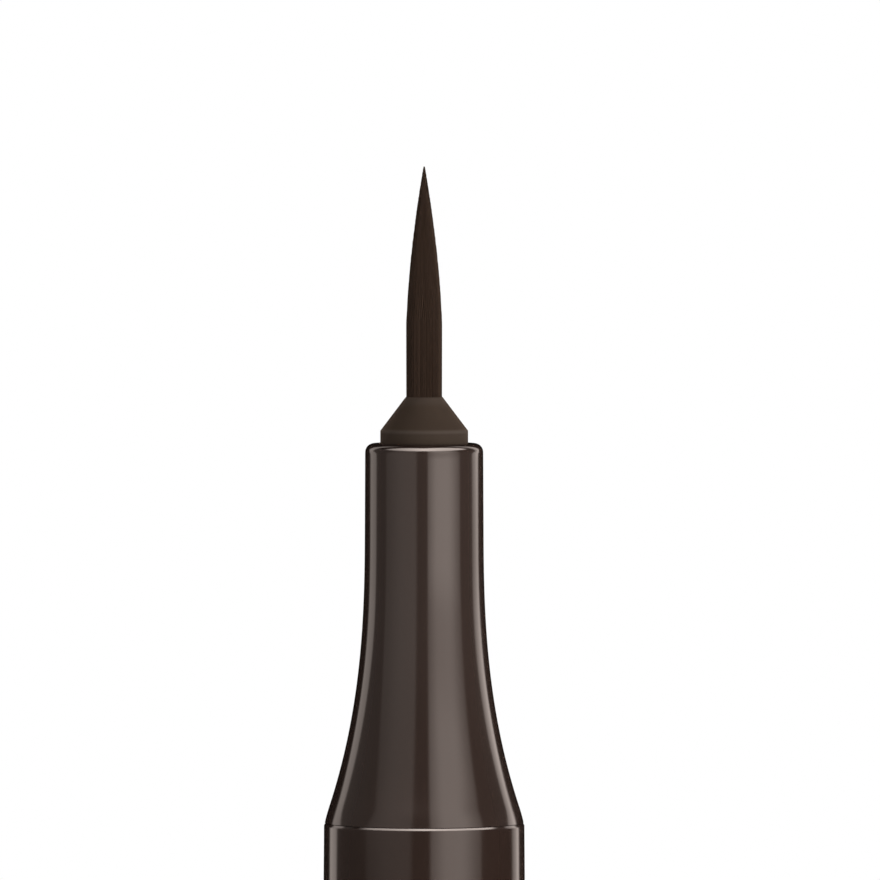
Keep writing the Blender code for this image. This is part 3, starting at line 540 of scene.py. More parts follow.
bow = np.linspace(0.0, 0.5 * np.pi, TENT_RINGS)
dome = np.stack([TENT_RADIUS * np.cos(bow), TENT_WALL + TENT_RADIUS * np.sin(bow)], axis=1)
dome[-1, 0] = 0.0
tent = turned("tent", np.concatenate([[(0.0, TENT_FOOT), (TENT_RADIUS, TENT_FOOT)], dome]), PLAIN_TURN)
for kind in ("camera", "diffuse", "transmission", "volume_scatter", "shadow"):
    setattr(tent, "visible_" + kind, False)
tent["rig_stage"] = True

# %% The two angles, and the three stretches of the pen that they tell apart
PEN_EYE = 0.135

panels, place = blank_material("panels")
panels.cycles.emission_sampling = "NONE"
tent.data.materials.append(panels)
x, y, z = place.axes()
level_way = (x * x + y * y) ** 0.5
turn = x.degrees_over(y * -1.0)
height = (z - PEN_EYE).degrees_over(level_way)
barrel_low = (height * -1.0).rise(1.5, 4.5)
nose_high = height.rise(-0.4, 1.3)
flare_low = height.rise(8.0, 15.0)

# %% [markdown]
# ### The narrow strips
# A light line runs down each side of the pen, from panels that stand beside it and a little behind. They
# could be plain upright bands, but the photograph's lines grow wider on the barrel and on the flare, so
# both edges of a band move with the height. The right one is brightest on its outer side.

# %% Narrow strips at either side
STRIP_EDGE = 3.0
LEFT_STRIP = (106.5, 129.0)
RIGHT_STRIP = (107.0, 129.5)
RIGHT_BRIGHTENING = (107.0, 126.0)
STRIPS_TOP = (50.0, 70.0)

near_shift = barrel_low * 13.5 + height.rise(1.0, 11.0) * 9.5 + flare_low * 6.0
far_shift = barrel_low * 9.0 + height.rise(0.0, 6.0) * 5.5 + flare_low * 5.5


def strip(angle, near, far):
    """1 between two angles that shift with the height: rise past one * (1 - rise past the other)."""
    past_near = (angle - near_shift).rise(near - STRIP_EDGE, near + STRIP_EDGE)
    past_far = (angle - far_shift).rise(far - STRIP_EDGE, far + STRIP_EDGE)
    return past_near * (1.0 - past_far)


left_power = 1.26 + barrel_low * 0.38 + flare_low * 0.16 + nose_high * 0.10
left = strip(turn * -1.0, *LEFT_STRIP) * left_power
outwards = (turn - near_shift).rise(*RIGHT_BRIGHTENING)
right_power = 1.1 + outwards * (1.35 + barrel_low * 0.3) + nose_high * 0.6 - barrel_low * 0.1
right = strip(turn - barrel_low * 0.5, *RIGHT_STRIP) * right_power
strips = (left + right) * (1.0 - height.rise(*STRIPS_TOP))

# %% [markdown]
# ### The two wide panels
# The front of the pen mirrors a dim panel left of the camera and a broad, brighter one right of it, with a
# dark gap between them for the camera itself. Evenly lit, both would look like card. So the dim one
# brightens towards the gap, the broad one is brightest in its middle and falls off to its outer edge, and
# along the pen the nose gets a little more of it than the flare.

# %% The dim panel on the left and the broad one on the right
DIM_START, DIM_FULL, DIM_END = (-81.5, -76.0), (-79.0, -38.0), (-18.0, -11.0)
BROAD_START, BROAD_FULL = (4.5, 9.5), (5.0, 27.0)
BROAD_FALL, BROAD_END = (45.0, 76.0), (71.0, 76.0)
WIDE_TOP = (33.0, 38.0)

dim_turn = turn - barrel_low * 9.0 - height.rise(2.0, 30.0) * 14.0
dim_power = (0.33 + turn.rise(*DIM_FULL) * 0.36) * (1.0 - barrel_low * 0.38)
dim = dim_turn.rise(*DIM_START) * (1.0 - turn.rise(*DIM_END)) * dim_power

broad_turn = turn + barrel_low * 5.0 + height.rise(22.0, 29.0) * 4.0
broad_power = 1.15 + turn.rise(*BROAD_FULL) * 1.35 - broad_turn.rise(*BROAD_FALL) * 1.75
at_nose = height.rise(-1.4, -0.4) * 0.36 - height.rise(1.1, 2.9) * 0.46
broad_power = broad_power * (1.06 + at_nose + height.rise(7.0, 18.0) * 0.22)
broad = turn.rise(*BROAD_START) * (1.0 - broad_turn.rise(*BROAD_END)) * broad_power

# %% [markdown]
# ### The haze and the panel overhead
# Between the panels the tent's cloth glows faintly, except behind the pen, which the pen's dark outer edges
# mirror. High up in front hangs the brightest panel, which draws the thin lines on the rim and the seam. A
# square one would light a short patch of the rim, so it bends round towards both sides.

# %% Haze, the panel overhead and the sum
HAZE_BACK = (112.0, 135.0)
LIGHT_COLOUR = (1.0, 0.87, 0.80, 1.0)

facing = 1.0 - turn.unsigned().rise(*HAZE_BACK)
far_left = turn.rise(-85.0, -60.0) * (0.03 - barrel_low * 0.10 - height.rise(4.0, 20.0) * 0.10)
uneven = (turn * -1.0).rise(30.0, 70.0) * 0.06 - turn.rise(60.0, 80.0) * 0.03
haze = 0.005 + facing * (0.20 - barrel_low * 0.15 + far_left + uneven)

distance = (level_way * level_way + (z - PEN_EYE) ** 2.0) ** 0.5
across = x / distance
sideways = across.unsigned()
ahead = y * -1.0 / distance + sideways * 0.54 + across * 0.12
overhead_power = 13.0 + across * 2.4 - sideways * 8.0
overhead = height.rise(32.0, 39.0) * ahead.rise(0.17, 0.42) * overhead_power

glow = (dim + broad + haze) * (1.0 - height.rise(*WIDE_TOP)) + overhead + strips
lit = place.node("ShaderNodeEmission", {}, {"Color": LIGHT_COLOUR, "Strength": glow})
place.node("ShaderNodeOutputMaterial", {}, {"Surface": lit})
print("the tent's recipe takes", len(panels.node_tree.nodes), "nodes")

# %% [markdown]
# ## Finishes
# Eight finishes cover the pen. Each could be one flat colour, but real plastic, steel and fibre are never
# that even. So all are made of noise and streaks on the pen's own coordinates, which stay put on a part
# whichever way it moves, at the sizes that the real surfaces show: a mould's faint waviness over
# millimetres, its fine grain over hundredths of one.

# %% A finish and its shader
FINISHES = {}


def new_finish(name):
    """Keeps a blank material in FINISHES and gives the place on the pen, in metres."""
    FINISHES[name], place = blank_material(name)
    return place


def shaded(place, **sockets):
    """Ends a finish with a Principled shader. Socket names are written with _ for a space."""
    named = {name.replace("_", " "): value for name, value in sockets.items()}
    shader = place.node("ShaderNodeBsdfPrincipled", {}, named, "BSDF")
    place.node("ShaderNodeOutputMaterial", {}, {"Surface": shader})
    print("finish", len(FINISHES), "has", len(place.tree.nodes), "nodes:", list(FINISHES)[-1])


def rgb(red, green, blue):
    """A colour for a socket, from linear parts."""
    return (red, green, blue, 1.0)


# %% [markdown]
# ### Polished brown plastic
# The nose, barrel and cap are moulded in a dark taupe brown and polished. A shader with plain low roughness
# would give a perfect mirror, which a real moulding isn't: it waves a little over a few millimetres,
# fingers leave hair-fine marks, mostly along the pen, and the pigment clouds very slightly. The waves are a
# bump of half a micrometre, and the marks vary the roughness.

# %% Gloss brown
place = new_finish("gloss_brown")
clouds = place.noise(6.0 * MM)
hairs = place.stretched(1.0, 1.0, 0.06).noise(0.12 * MM, 2.0)
smears = place.stretched(1.0, 1.0, 0.5).noise(4.0 * MM)
waves = place.noise(2.6 * MM, 1.0)
shaded(
    place,
    Base_Color=clouds.blend(rgb(0.0262, 0.0158, 0.0124), rgb(0.0292, 0.0180, 0.0142)),
    Roughness=0.085 + 0.05 * smears.rise(0.35, 0.75) + 0.05 * hairs.rise(0.66, 0.8),
    Normal=waves.bump(0.0005 * MM),
)

# %% [markdown]
# ### Matt brown plastic
# The cone is moulded in an eroded tool, which leaves a fine, even grain that scatters the light. The grain
# is about a twentieth of a millimetre, far too fine to model, so it is a bump from a very fine noise. A
# painted highlight lies along the edge below the cone, a fainter one over the cone's top, and everything
# below the cone gets a faint painted lightening.

# %% Matt brown
CONE_EDGE = 147.09 * MM
CONE_LIP = (148.2 * MM, 148.65 * MM)
# Width of the painted highlight along the edge below the cone.
HIGHLIGHT_WIDTH = 0.16 * MM

place = new_finish("matt_brown")
grain = place.noise(0.05 * MM, 2.0)
patches = place.noise(1.3 * MM)
speckle = 0.6 * patches + 0.4 * grain
plain = speckle.blend(rgb(0.033, 0.0232, 0.0170), rgb(0.045, 0.0324, 0.0242))
up = place.axes()[2]
# Painted light: a highlight along the edge below the cone, a fainter one over the cone's top and a faint
# lightening below the cone.
over_foot = up.rise(CONE_EDGE - HIGHLIGHT_WIDTH, CONE_EDGE)
edge = over_foot * (1.0 - up.rise(CONE_EDGE, CONE_EDGE + HIGHLIGHT_WIDTH))
painted_light = edge * 0.8 + up.rise(*CONE_LIP) * 0.35 + (1.0 - over_foot) * 0.17
shaded(
    place,
    # The painted light lifts the plain colour towards a lighter brown.
    Base_Color=painted_light.blend(plain, rgb(0.072, 0.056, 0.046)),
    Roughness=0.58 + 0.12 * grain,
    Specular_IOR_Level=0.03,
    Normal=grain.bump(0.004 * MM),
)

# %% [markdown]
# ### Bristles
# The bristles are nylon, wet with brown ink. One colour for all would melt them together, and a fine noise
# would cross from one to the next. So each carries a tone of its own, along it the ink lies in faint long
# streaks, and towards the tip all of them are a little lighter.

# %% Bristle brown
place = new_finish("bristle_brown")
tone = place.node("ShaderNodeAttribute", {"attribute_name": "tone"}, {}, "Fac")
wet = place.stretched(1.0, 1.0, 0.12).noise(0.25 * MM)
# Lighter over the last ten millimetres towards the tip.
thin = place.axes()[2].rise(150.0 * MM, 160.0 * MM)
light = 0.30 * tone + 0.20 * wet + 0.50 * thin + 0.10
shaded(
    place,
    Base_Color=light.blend(rgb(0.0200, 0.0120, 0.0081), rgb(0.0480, 0.0306, 0.0218)),
    Roughness=0.62 - 0.12 * wet,
    Specular_IOR_Level=0.06,
)

# %% [markdown]
# ### The plastics inside
# The tank, the comb and the retainer are natural polypropylene: milky, soft to the touch, with faint flow
# lines along them. Light goes a little way into it, which a plain pale colour can't show, so a part of it
# is scattered under the surface. The inner cap, its ring and the tank's plug are white and a little
# glossier.

# %% Milky and white plastic
place = new_finish("milky_plastic")
flow = place.stretched(1.0, 1.0, 0.08).noise(0.7 * MM)
cloud = place.noise(3.0 * MM)
milk = 0.5 * flow + 0.5 * cloud
shaded(
    place,
    Base_Color=milk.blend(rgb(0.55, 0.53, 0.49), rgb(0.69, 0.67, 0.63)),
    Roughness=0.38 + 0.14 * flow,
    Normal=flow.bump(0.002 * MM),
    Subsurface_Weight=0.25,
    Subsurface_Radius=(1.0 * MM, 0.9 * MM, 0.8 * MM),
)

place = new_finish("white_plastic")
flow = place.stretched(1.0, 1.0, 0.15).noise(1.2 * MM)
dimples = place.noise(0.09 * MM, 2.0)
shaded(
    place,
    Base_Color=flow.blend(rgb(0.74, 0.73, 0.70), rgb(0.82, 0.81, 0.785)),
    Roughness=0.30 + 0.12 * flow + 0.06 * dimples,
    Normal=dimples.bump(0.0012 * MM),
)

# %% [markdown]
# ### Fibre, steel and rubber
# The ink core is a rod of bonded fibres, all along its length and stained by the ink. The spring, pipe and
# ball are drawn or ground steel with fine lines. The seal is plain black rubber with a slight dusty bloom.
# Anisotropic shading could make the lines, but the export keeps only what a bump and a roughness show.

# %% Ink-stained fibre
place = new_finish("ink_stained_fibre")
fibres = place.stretched(1.0, 1.0, 0.03).noise(0.04 * MM, 2.0)
stain = place.stretched(1.0, 1.0, 0.4).noise(1.5 * MM)
soaked = 0.7 * fibres + 0.3 * stain
shaded(
    place,
    Base_Color=soaked.blend(rgb(0.050, 0.029, 0.019), rgb(0.150, 0.100, 0.070)),
    Roughness=0.80 + 0.15 * fibres,
    Normal=fibres.bump(0.008 * MM),
)

# %% Steel
place = new_finish("steel")
lines = place.stretched(1.0, 1.0, 0.02).noise(0.03 * MM, 2.0)
dull = place.noise(1.0 * MM)
shaded(
    place,
    Base_Color=dull.blend(rgb(0.50, 0.49, 0.47), rgb(0.62, 0.61, 0.59)),
    Metallic=1.0,
    Roughness=0.20 + 0.12 * lines + 0.08 * dull,
    Normal=lines.bump(0.0008 * MM),
)

# %% Black rubber
place = new_finish("black_rubber")
bloom = place.noise(0.35 * MM)
shaded(
    place,
    Base_Color=bloom.blend(rgb(0.010, 0.010, 0.010), rgb(0.020, 0.020, 0.019)),
    Roughness=0.50 + 0.18 * bloom,
    Normal=bloom.bump(0.003 * MM),
)


# %% Put a fine piece in a solid's place
def dress(piece, node):
    """The piece takes the node's finish and slot, rides on its body and is shown in its stead."""
    piece.data.materials.append(FINISHES[SLOT_OF[node]])
    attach(piece, frame["nodes"][node]["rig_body"])
    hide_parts(node)


def tube(name, node, reach, bore, rounds, sides):
    """A dressed tube as long as its solid. The rounds go outer top, outer foot, inner foot, inner top."""
    low, high = foot_of(node), top_of(node)
    edges = [(reach, high), (reach, low), (bore, low), (bore, high)]
    corners = [(*edge, size) for edge, size in zip(edges, rounds)]
    dress(turned(name, eased(corners), sides), node)


# %% [markdown]
# ## The front section
# This is the glossy nose: a rim with a rounded edge, a nose that widens by less than a tenth of a
# millimetre, a flare that sweeps out to the barrel, and below the seam the spigot that presses into it. Its
# outline could be a drawn curve, but a power law follows the photograph's outline to half a pixel.

# %% Front section: outside
SEAM = top_of("barrel") + 0.05
RIM = top_of("front_section")
NOSE_RADIUS = 2.93
NOSE_EDGE = 0.44
NOSE_DRAFT = 0.085
FLARE_LENGTH = 14.3
FLARE_WIDENING = 1.975
FLARE_POWER = 2.55
END_EASE = 0.8
END_BEND = 0.05
EDGE_POINTS = 15
RIM_HOLD = 0.02
SIDE_START = 1.1
ROW_CROWDING = 1.15


def front_radius(height):
    """Radius at a height: nose + draft * share down + widening * share into the flare ** power."""
    down = 1.0 - height / (RIM - SEAM)
    into = np.clip(1.0 - height / FLARE_LENGTH, 0.0, None)
    return NOSE_RADIUS + NOSE_DRAFT * down + FLARE_WIDENING * into**FLARE_POWER


def nose_and_flare(rows=90):
    """The outside, rim to seam: a quarter circle, then front_radius, drawn in at its end."""
    tilt = np.linspace(0.5 * np.pi, 0.0, EDGE_POINTS)
    edge_radius = NOSE_RADIUS - NOSE_EDGE * (1.0 - np.cos(tilt))
    edge = np.stack([edge_radius, RIM - NOSE_EDGE * (1.0 - np.sin(tilt))], axis=1)
    height = (RIM - SEAM - NOSE_EDGE * SIDE_START) * (1.0 - np.linspace(0.0, 1.0, rows)) ** ROW_CROWDING
    bend = np.clip(1.0 - height / END_EASE, 0.0, 1.0) ** 2 * END_BEND
    side = np.stack([front_radius(height) - bend, SEAM + height], axis=1)
    return np.concatenate([[(NOSE_RADIUS - NOSE_EDGE - RIM_HOLD, RIM)], edge, side])


outside = nose_and_flare()
print("the flare ends", round(outside[-1, 0], 2), "mm from the axis")

# %% Front section: spigot and bore
SPIGOT_FOOT = foot_of("front_section")
SPIGOT_RADIUS = 4.15
SEAM_RADIUS = 4.6
RIDGES = (6.3, 2.7)
RIDGE_HALF = 0.4
RIDGE_RISE = 0.03
COMB_BORE, COMB_SEAT = 3.10, SEAM + 4.36
STEM_BORE, STEM_SEAT = 2.64, SEAM + 7.28
HOLDER_BORE = 2.23
RIM_FLAT = 2.45

ridge_corners = [
    (SPIGOT_RADIUS + rise, SPIGOT_FOOT + middle + offset, 0.4)
    for middle in RIDGES
    for rise, offset in ((0.0, RIDGE_HALF), (RIDGE_RISE, 0.0), (0.0, -RIDGE_HALF))
]
spigot = eased([
    (SEAM_RADIUS, SEAM, 0.0),
    (SPIGOT_RADIUS, SEAM, 0.05),
    *ridge_corners,
    (SPIGOT_RADIUS, SPIGOT_FOOT, 0.25),
    (COMB_BORE, SPIGOT_FOOT, 0.08),
    (COMB_BORE, COMB_SEAT, 0.05),
    (STEM_BORE, COMB_SEAT, 0.04),
    (STEM_BORE, STEM_SEAT, 0.04),
    (HOLDER_BORE, STEM_SEAT, 0.04),
    (HOLDER_BORE, RIM, 0.06),
    (RIM_FLAT, RIM, 0.0),
])
front = turned("nose_and_flare", np.concatenate([outside, spigot]))
dress(front, "front_section")

# %% [markdown]
# ## The barrel
# A plain tube, held in the hand. A cylinder with bevelled ends would nearly do, but in the photograph the
# top edge stands just proud of the flare and catches a hair-fine line of light. So the profile's last
# stretch is drawn in very slightly and ends in a small round.

# %% Barrel
BARREL_RADIUS = reach_of("barrel")
BARREL_TOP = top_of("barrel")
BARREL_FOOT = foot_of("barrel")
BARREL_BORE = 4.2
EDGE_PROUD = 0.03
DRAWN_IN = 0.02
DRAWN_LENGTH = 2.6
DRAWN_ROUND = 30.0

barrel = turned("barrel_tube", eased([
    (BARREL_RADIUS - DRAWN_IN - 0.075, BARREL_TOP + EDGE_PROUD, 0.0),
    (BARREL_RADIUS - DRAWN_IN, BARREL_TOP - 0.09, 0.08),
    (BARREL_RADIUS, BARREL_TOP - DRAWN_LENGTH, DRAWN_ROUND),
    (BARREL_RADIUS, BARREL_FOOT, 0.08),
    (BARREL_BORE, BARREL_FOOT, 0.1),
    (BARREL_BORE, BARREL_TOP - 0.2, 0.1),
    (BARREL_BORE + 0.2, BARREL_TOP + EDGE_PROUD, 0.03),
]))
dress(barrel, "barrel")

# %% [markdown]
# ## The brush holder
# The matt cone that the bristles come out of, on a stem that runs down inside the nose. It could be a cone
# and a tube joined, but one profile leaves no joint to hide. Its corners are crisp in the photograph, with
# a faint light line along each, so they get rounds of a few hundredths of a millimetre.

# %% Brush holder
HOLDER_TOP = top_of("brush_holder")
HOLDER_FOOT = foot_of("brush_holder")
CONE_TOP = HOLDER_TOP - 0.045
CONE_HEIGHT = 1.67
CONE_LAND = 0.006
HOLDER_RADIUS = 2.18
COLLAR_RADIUS = 2.59
COLLAR_HEIGHT = 1.0
BRUSH_BORE = 0.9115
ROOT_BORE = 1.4
SOCKET_DEPTH = 4.05

holder = turned("cone_and_stem", eased([
    (BRUSH_BORE + CONE_LAND, CONE_TOP, 0.002),
    (HOLDER_RADIUS, CONE_TOP - CONE_HEIGHT, 0.09),
    (HOLDER_RADIUS, HOLDER_FOOT + COLLAR_HEIGHT, 0.05),
    (COLLAR_RADIUS, HOLDER_FOOT + COLLAR_HEIGHT, 0.05),
    (COLLAR_RADIUS, HOLDER_FOOT, 0.08),
    (ROOT_BORE, HOLDER_FOOT, 0.08),
    (ROOT_BORE, HOLDER_TOP - SOCKET_DEPTH, 0.02),
    (BRUSH_BORE, HOLDER_TOP - SOCKET_DEPTH, 0.03),
    (BRUSH_BORE, CONE_TOP, 0.002),
]))
dress(holder, "brush_holder")

# %% [markdown]
# ## The brush
# The tip is a bundle of fine nylon bristles, gathered and ground to a point. Particles could grow them, but
# they would not follow the outline. Here every bristle is a row of small rings on a sunflower spiral, which
# packs a circle evenly. All lean in alike and each ends where it meets the outline, so the outer ones are
# shortest.

# %% The bristles' law
BRUSH_TIP = top_of("brush")
TAPER_LENGTH = 8.1
TAPER_POWER = 1.65
TIP_SHARE = 0.04


def brush_outline(share):
    """Share of the full radius, at a share of the way down: tip + rest * (1 - (1 - share) ** power)."""
    return TIP_SHARE + (1.0 - TIP_SHARE) * (1.0 - (1.0 - share) ** TAPER_POWER)


def outline_place(outline):
    """The inverse of brush_outline: share = 1 - (1 - (outline - tip) / rest) ** (1 / power)."""
    fall = np.clip((outline - TIP_SHARE) / (1.0 - TIP_SHARE), 0.0, 1.0)
    return 1.0 - (1.0 - fall) ** (1.0 / TAPER_POWER)


print("half way down the taper the brush has", round(brush_outline(0.5), 2), "of its thickness")

# %% Bristles
BRISTLE_COUNT = 1500
BRISTLE_SEED, TONE_SEED = 11, 5
BRISTLE_RADIUS = 0.0235
BRUSH_RADIUS = 0.9
ROOT_FOOT = foot_of("brush")
ROOT_THICKNESS = 0.8
GOLDEN_ANGLE = math.pi * (3.0 - math.sqrt(5.0))
ANGLE_SPREAD = 0.004
LENGTH_SPREAD = 0.035
SHORTEST = 0.93
RING_CROWDING = 0.8
GATHERED = 0.985
END_THINNING = [0.85, 0.55]
POINT_LENGTH = 0.03
POINT_LEAN = 0.998


def bristle_points(sides=4, rings=7):
    """Rings for every bristle, as an array (bristles, rows, sides, 3).

    A bristle's share out is sqrt((i + 0.5) / N) and its angle i golden angles. On the taper its radius is
    share out * brush radius * sqrt(outline), and it ends where the outline is the square of its share out.
    """
    random = np.random.default_rng(BRISTLE_SEED)
    number = np.arange(BRISTLE_COUNT)
    out = np.sqrt((number + 0.5) / BRISTLE_COUNT)
    angle = number * GOLDEN_ANGLE + random.normal(0.0, ANGLE_SPREAD, BRISTLE_COUNT)
    root = out * (BRUSH_RADIUS - BRISTLE_RADIUS)
    later = random.uniform(0.0, LENGTH_SPREAD, BRISTLE_COUNT) * out
    end = np.minimum(outline_place(out**2) + later, SHORTEST)
    along = np.linspace(0.0, 1.0, rings) ** RING_CROWDING
    share = 1.0 - (1.0 - end[:, None]) * along[None]
    lean = np.sqrt(brush_outline(share))
    height = BRUSH_TIP - TAPER_LENGTH * share
    foot = np.full((BRISTLE_COUNT, 1), ROOT_FOOT + ROOT_THICKNESS * 0.5)
    point = np.minimum(height[:, -1:] + POINT_LENGTH, BRUSH_TIP)
    height = np.concatenate([foot, foot, height, point], axis=1)
    one = np.ones((BRISTLE_COUNT, 1))
    spread = np.concatenate([GATHERED * one, GATHERED * one, lean, lean[:, -1:] * POINT_LEAN], axis=1)
    spread = spread * root[:, None]
    thick = lean * np.concatenate([np.ones(rings - len(END_THINNING)), END_THINNING])[None]
    thick = np.concatenate([0.0 * one, one, thick, 0.0 * one], axis=1) * BRISTLE_RADIUS
    turn = np.linspace(0.0, 2.0 * np.pi, sides, endpoint=False)
    across = spread[:, :, None] + thick[:, :, None] * np.cos(turn)
    aside = thick[:, :, None] * np.sin(turn)
    cosine, sine = np.cos(angle)[:, None, None], np.sin(angle)[:, None, None]
    high = np.broadcast_to(height[:, :, None], across.shape)
    return np.stack([across * cosine - aside * sine, across * sine + aside * cosine, high], axis=-1)


def tint(piece, tones):
    """Keeps a tone for every point, which the bristles' finish reads."""
    tone = piece.data.attributes.new("tone", "FLOAT", "POINT")
    tone.data.foreach_set("value", tones.astype(np.float32))


brush = grid_piece("bristles", bristle_points())
per_bristle = len(brush.data.vertices) // BRISTLE_COUNT
tones = np.random.default_rng(TONE_SEED).uniform(0.0, 1.0, BRISTLE_COUNT)
tint(brush, tones.repeat(per_bristle))
dress(brush, "brush")
print(BRISTLE_COUNT, "bristles with", per_bristle, "points each")

# %% [markdown]
# ### The brush's root
# The bristles' lower ends are melted together into a small disc, by which the brush sits in its holder. It
# could be part of the bristles' mesh, but a piece of its own is simpler. It takes an even tone.

# %% The disc that the bristles are fused to
ROOT_RADIUS = 1.35
ROOT_TONE = 0.3

root = turned("bristle_root", from_axis([
    (0.0, ROOT_FOOT + ROOT_THICKNESS, 0.0),
    (ROOT_RADIUS, ROOT_FOOT + ROOT_THICKNESS, 0.1),
    (ROOT_RADIUS, ROOT_FOOT, 0.1),
    (0.0, ROOT_FOOT, 0.0),
]), PLAIN_TURN)
tint(root, np.full(len(root.data.vertices), ROOT_TONE))
root.data.materials.append(FINISHES["bristle_brown"])
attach(root, "pen")

# %% [markdown]
# ## The tail and the cap
# The photograph stops below the seam, so these follow what such pens have: a plug in the barrel's tail with
# a thin flange and a post, and a cap with a flat end that is pushed onto the post while the pen is in use.
# The plug could be three cylinders, but one profile also gives the fine grooves between cap, flange and
# barrel their rounded edges, which catch the light.

# %% Tail plug
PLUG_TOP = top_of("tail_plug")
PLUG_FOOT = foot_of("tail_plug")
POST_RADIUS = 4.3
FLANGE_FOOT = PLUG_FOOT + 6.05
FLANGE_TOP = FLANGE_FOOT + 1.5
PLUG_RADIUS = 4.15
PLUG_LENGTH = 12.0
PLUG_BORE, PLUG_FLOOR = 2.6, PLUG_FOOT + 1.2
CUP_BORE, CUP_FLOOR = 3.45, PLUG_TOP - 2.0
GROOVE_SHARES = (0.75, 0.5, 0.25)
GROOVE_HALF = 0.5
GROOVE_DEPTH = 0.25

groove_corners = [
    (PLUG_RADIUS - depth, FLANGE_TOP + PLUG_LENGTH * share + offset, 0.06)
    for share in GROOVE_SHARES
    for depth, offset in (
        (0.0, GROOVE_HALF),
        (GROOVE_DEPTH, GROOVE_HALF),
        (GROOVE_DEPTH, -GROOVE_HALF),
        (0.0, -GROOVE_HALF),
    )
]
tail = turned("tail_and_post", from_axis([
    (0.0, PLUG_FLOOR, 0.0),
    (PLUG_BORE, PLUG_FLOOR, 0.15),
    (PLUG_BORE, CUP_FLOOR, 0.05),
    (CUP_BORE, CUP_FLOOR, 0.05),
    (CUP_BORE, PLUG_TOP, 0.1),
    (PLUG_RADIUS, PLUG_TOP, 0.2),
    *groove_corners,
    (PLUG_RADIUS, FLANGE_TOP, 0.04),
    (BARREL_RADIUS, FLANGE_TOP, 0.08),
    (BARREL_RADIUS, FLANGE_FOOT, 0.08),
    (POST_RADIUS, FLANGE_FOOT, 0.08),
    (POST_RADIUS, PLUG_FOOT, 0.5),
    (0.0, PLUG_FOOT, 0.0),
]))
dress(tail, "tail_plug")

# %% [markdown]
# ### The cap's shell
# A tube as thick as the barrel with a closed end, a step inside its mouth for the snap ring and a stud on
# its floor that centres the spring. Two cylinders could be cut from each other, but one profile gives every
# edge its round.

# %% Cap shell
CAP_TOP = top_of("cap_shell")
CAP_FLOOR = 1.6
CAP_BORE = 4.1
CAP_STEP = foot_of("inner_cap_retainer") - 0.025
MOUTH_BORE = 4.35
MOUTH_EASE = 0.15
STUD_RADIUS = 2.3146
STUD_HEIGHT = 1.0

cap = turned("cap", from_axis([
    (0.0, CAP_FLOOR + STUD_HEIGHT, 0.0),
    (STUD_RADIUS, CAP_FLOOR + STUD_HEIGHT, 0.15),
    (STUD_RADIUS, CAP_FLOOR, 0.1),
    (CAP_BORE, CAP_FLOOR, 0.3),
    (CAP_BORE, CAP_STEP, 0.05),
    (MOUTH_BORE, CAP_STEP, 0.05),
    (MOUTH_BORE, CAP_TOP - MOUTH_EASE, 0.12),
    (MOUTH_BORE + MOUTH_EASE, CAP_TOP, 0.06),
    (BARREL_RADIUS, CAP_TOP, 0.08),
    (BARREL_RADIUS, 0.0, 0.5),
    (0.0, 0.0, 0.0),
]))
dress(cap, "cap_shell")

# %% [markdown]
# ## Inside the cap
# A white inner cap grips the nose when the pen is closed and keeps the brush from drying out. A snap ring
# holds it in the shell. Both could stay plain solids, because they hide in the cap's mouth, but their
# rounded edges show when the pen is pulled out.

# %% Inner cap
INNER_TOP = top_of("inner_cap")
INNER_FOOT = foot_of("inner_cap") + STUD_HEIGHT
INNER_REACH = CAP_BORE - 0.05
INNER_RIM = INNER_TOP - 0.9
INNER_FLOOR = INNER_FOOT + 0.8
GRIP_BORE = 3.065
GRIP_FOOT = INNER_TOP - 4.5
GRIP_EASE = 0.2
CHAMBER_BORE = 2.565
INNER_WALL = 0.5

inner_cap = turned("sealing_cap", from_axis([
    (0.0, INNER_FLOOR, 0.0),
    (CHAMBER_BORE, INNER_FLOOR, 0.3),
    (CHAMBER_BORE, GRIP_FOOT, 0.05),
    (GRIP_BORE, GRIP_FOOT, 0.08),
    (GRIP_BORE, INNER_TOP - GRIP_EASE, 0.15),
    (GRIP_BORE + GRIP_EASE, INNER_TOP, 0.08),
    (INNER_REACH, INNER_TOP, 0.12),
    (INNER_REACH, INNER_RIM, 0.12),
    (GRIP_BORE + INNER_WALL, INNER_RIM, 0.12),
    (GRIP_BORE + INNER_WALL, GRIP_FOOT - INNER_WALL, 0.1),
    (CHAMBER_BORE + INNER_WALL, GRIP_FOOT - INNER_WALL, 0.1),
    (CHAMBER_BORE + INNER_WALL, INNER_FOOT, 0.25),
    (STUD_RADIUS, INNER_FOOT, 0.05),
    (STUD_RADIUS, INNER_FOOT - STUD_HEIGHT, 0.15),
    (0.0, INNER_FOOT - STUD_HEIGHT, 0.0),
]), INNER_TURN)
dress(inner_cap, "inner_cap")

# %% Snap ring
RING_REACH, RING_BORE = reach_of("inner_cap_retainer"), 3.365
tube("snap_ring", "inner_cap_retainer", RING_REACH, RING_BORE, (0.1, 0.1, 0.1, 0.1), INNER_TURN)

# %% [markdown]
# ### The spring
# A small steel spring presses the inner cap up against the snap ring. A Screw modifier could wind it, but a
# helix is two lines of numpy: a circle's sine and cosine with a steady climb, along which a small circle is
# carried. Its turns close up as the inner cap goes down, and the share of its length that it then keeps is
# worked out.

# %% Spring
SPRING_LOW, SPRING_HIGH = foot_of("inner_cap_spring"), top_of("inner_cap_spring")
WIRE_RADIUS = 0.17
WIRE_SIDES = 16
COIL_RADIUS = 2.665
COIL_TURNS = 6
STEPS_A_TURN = 72

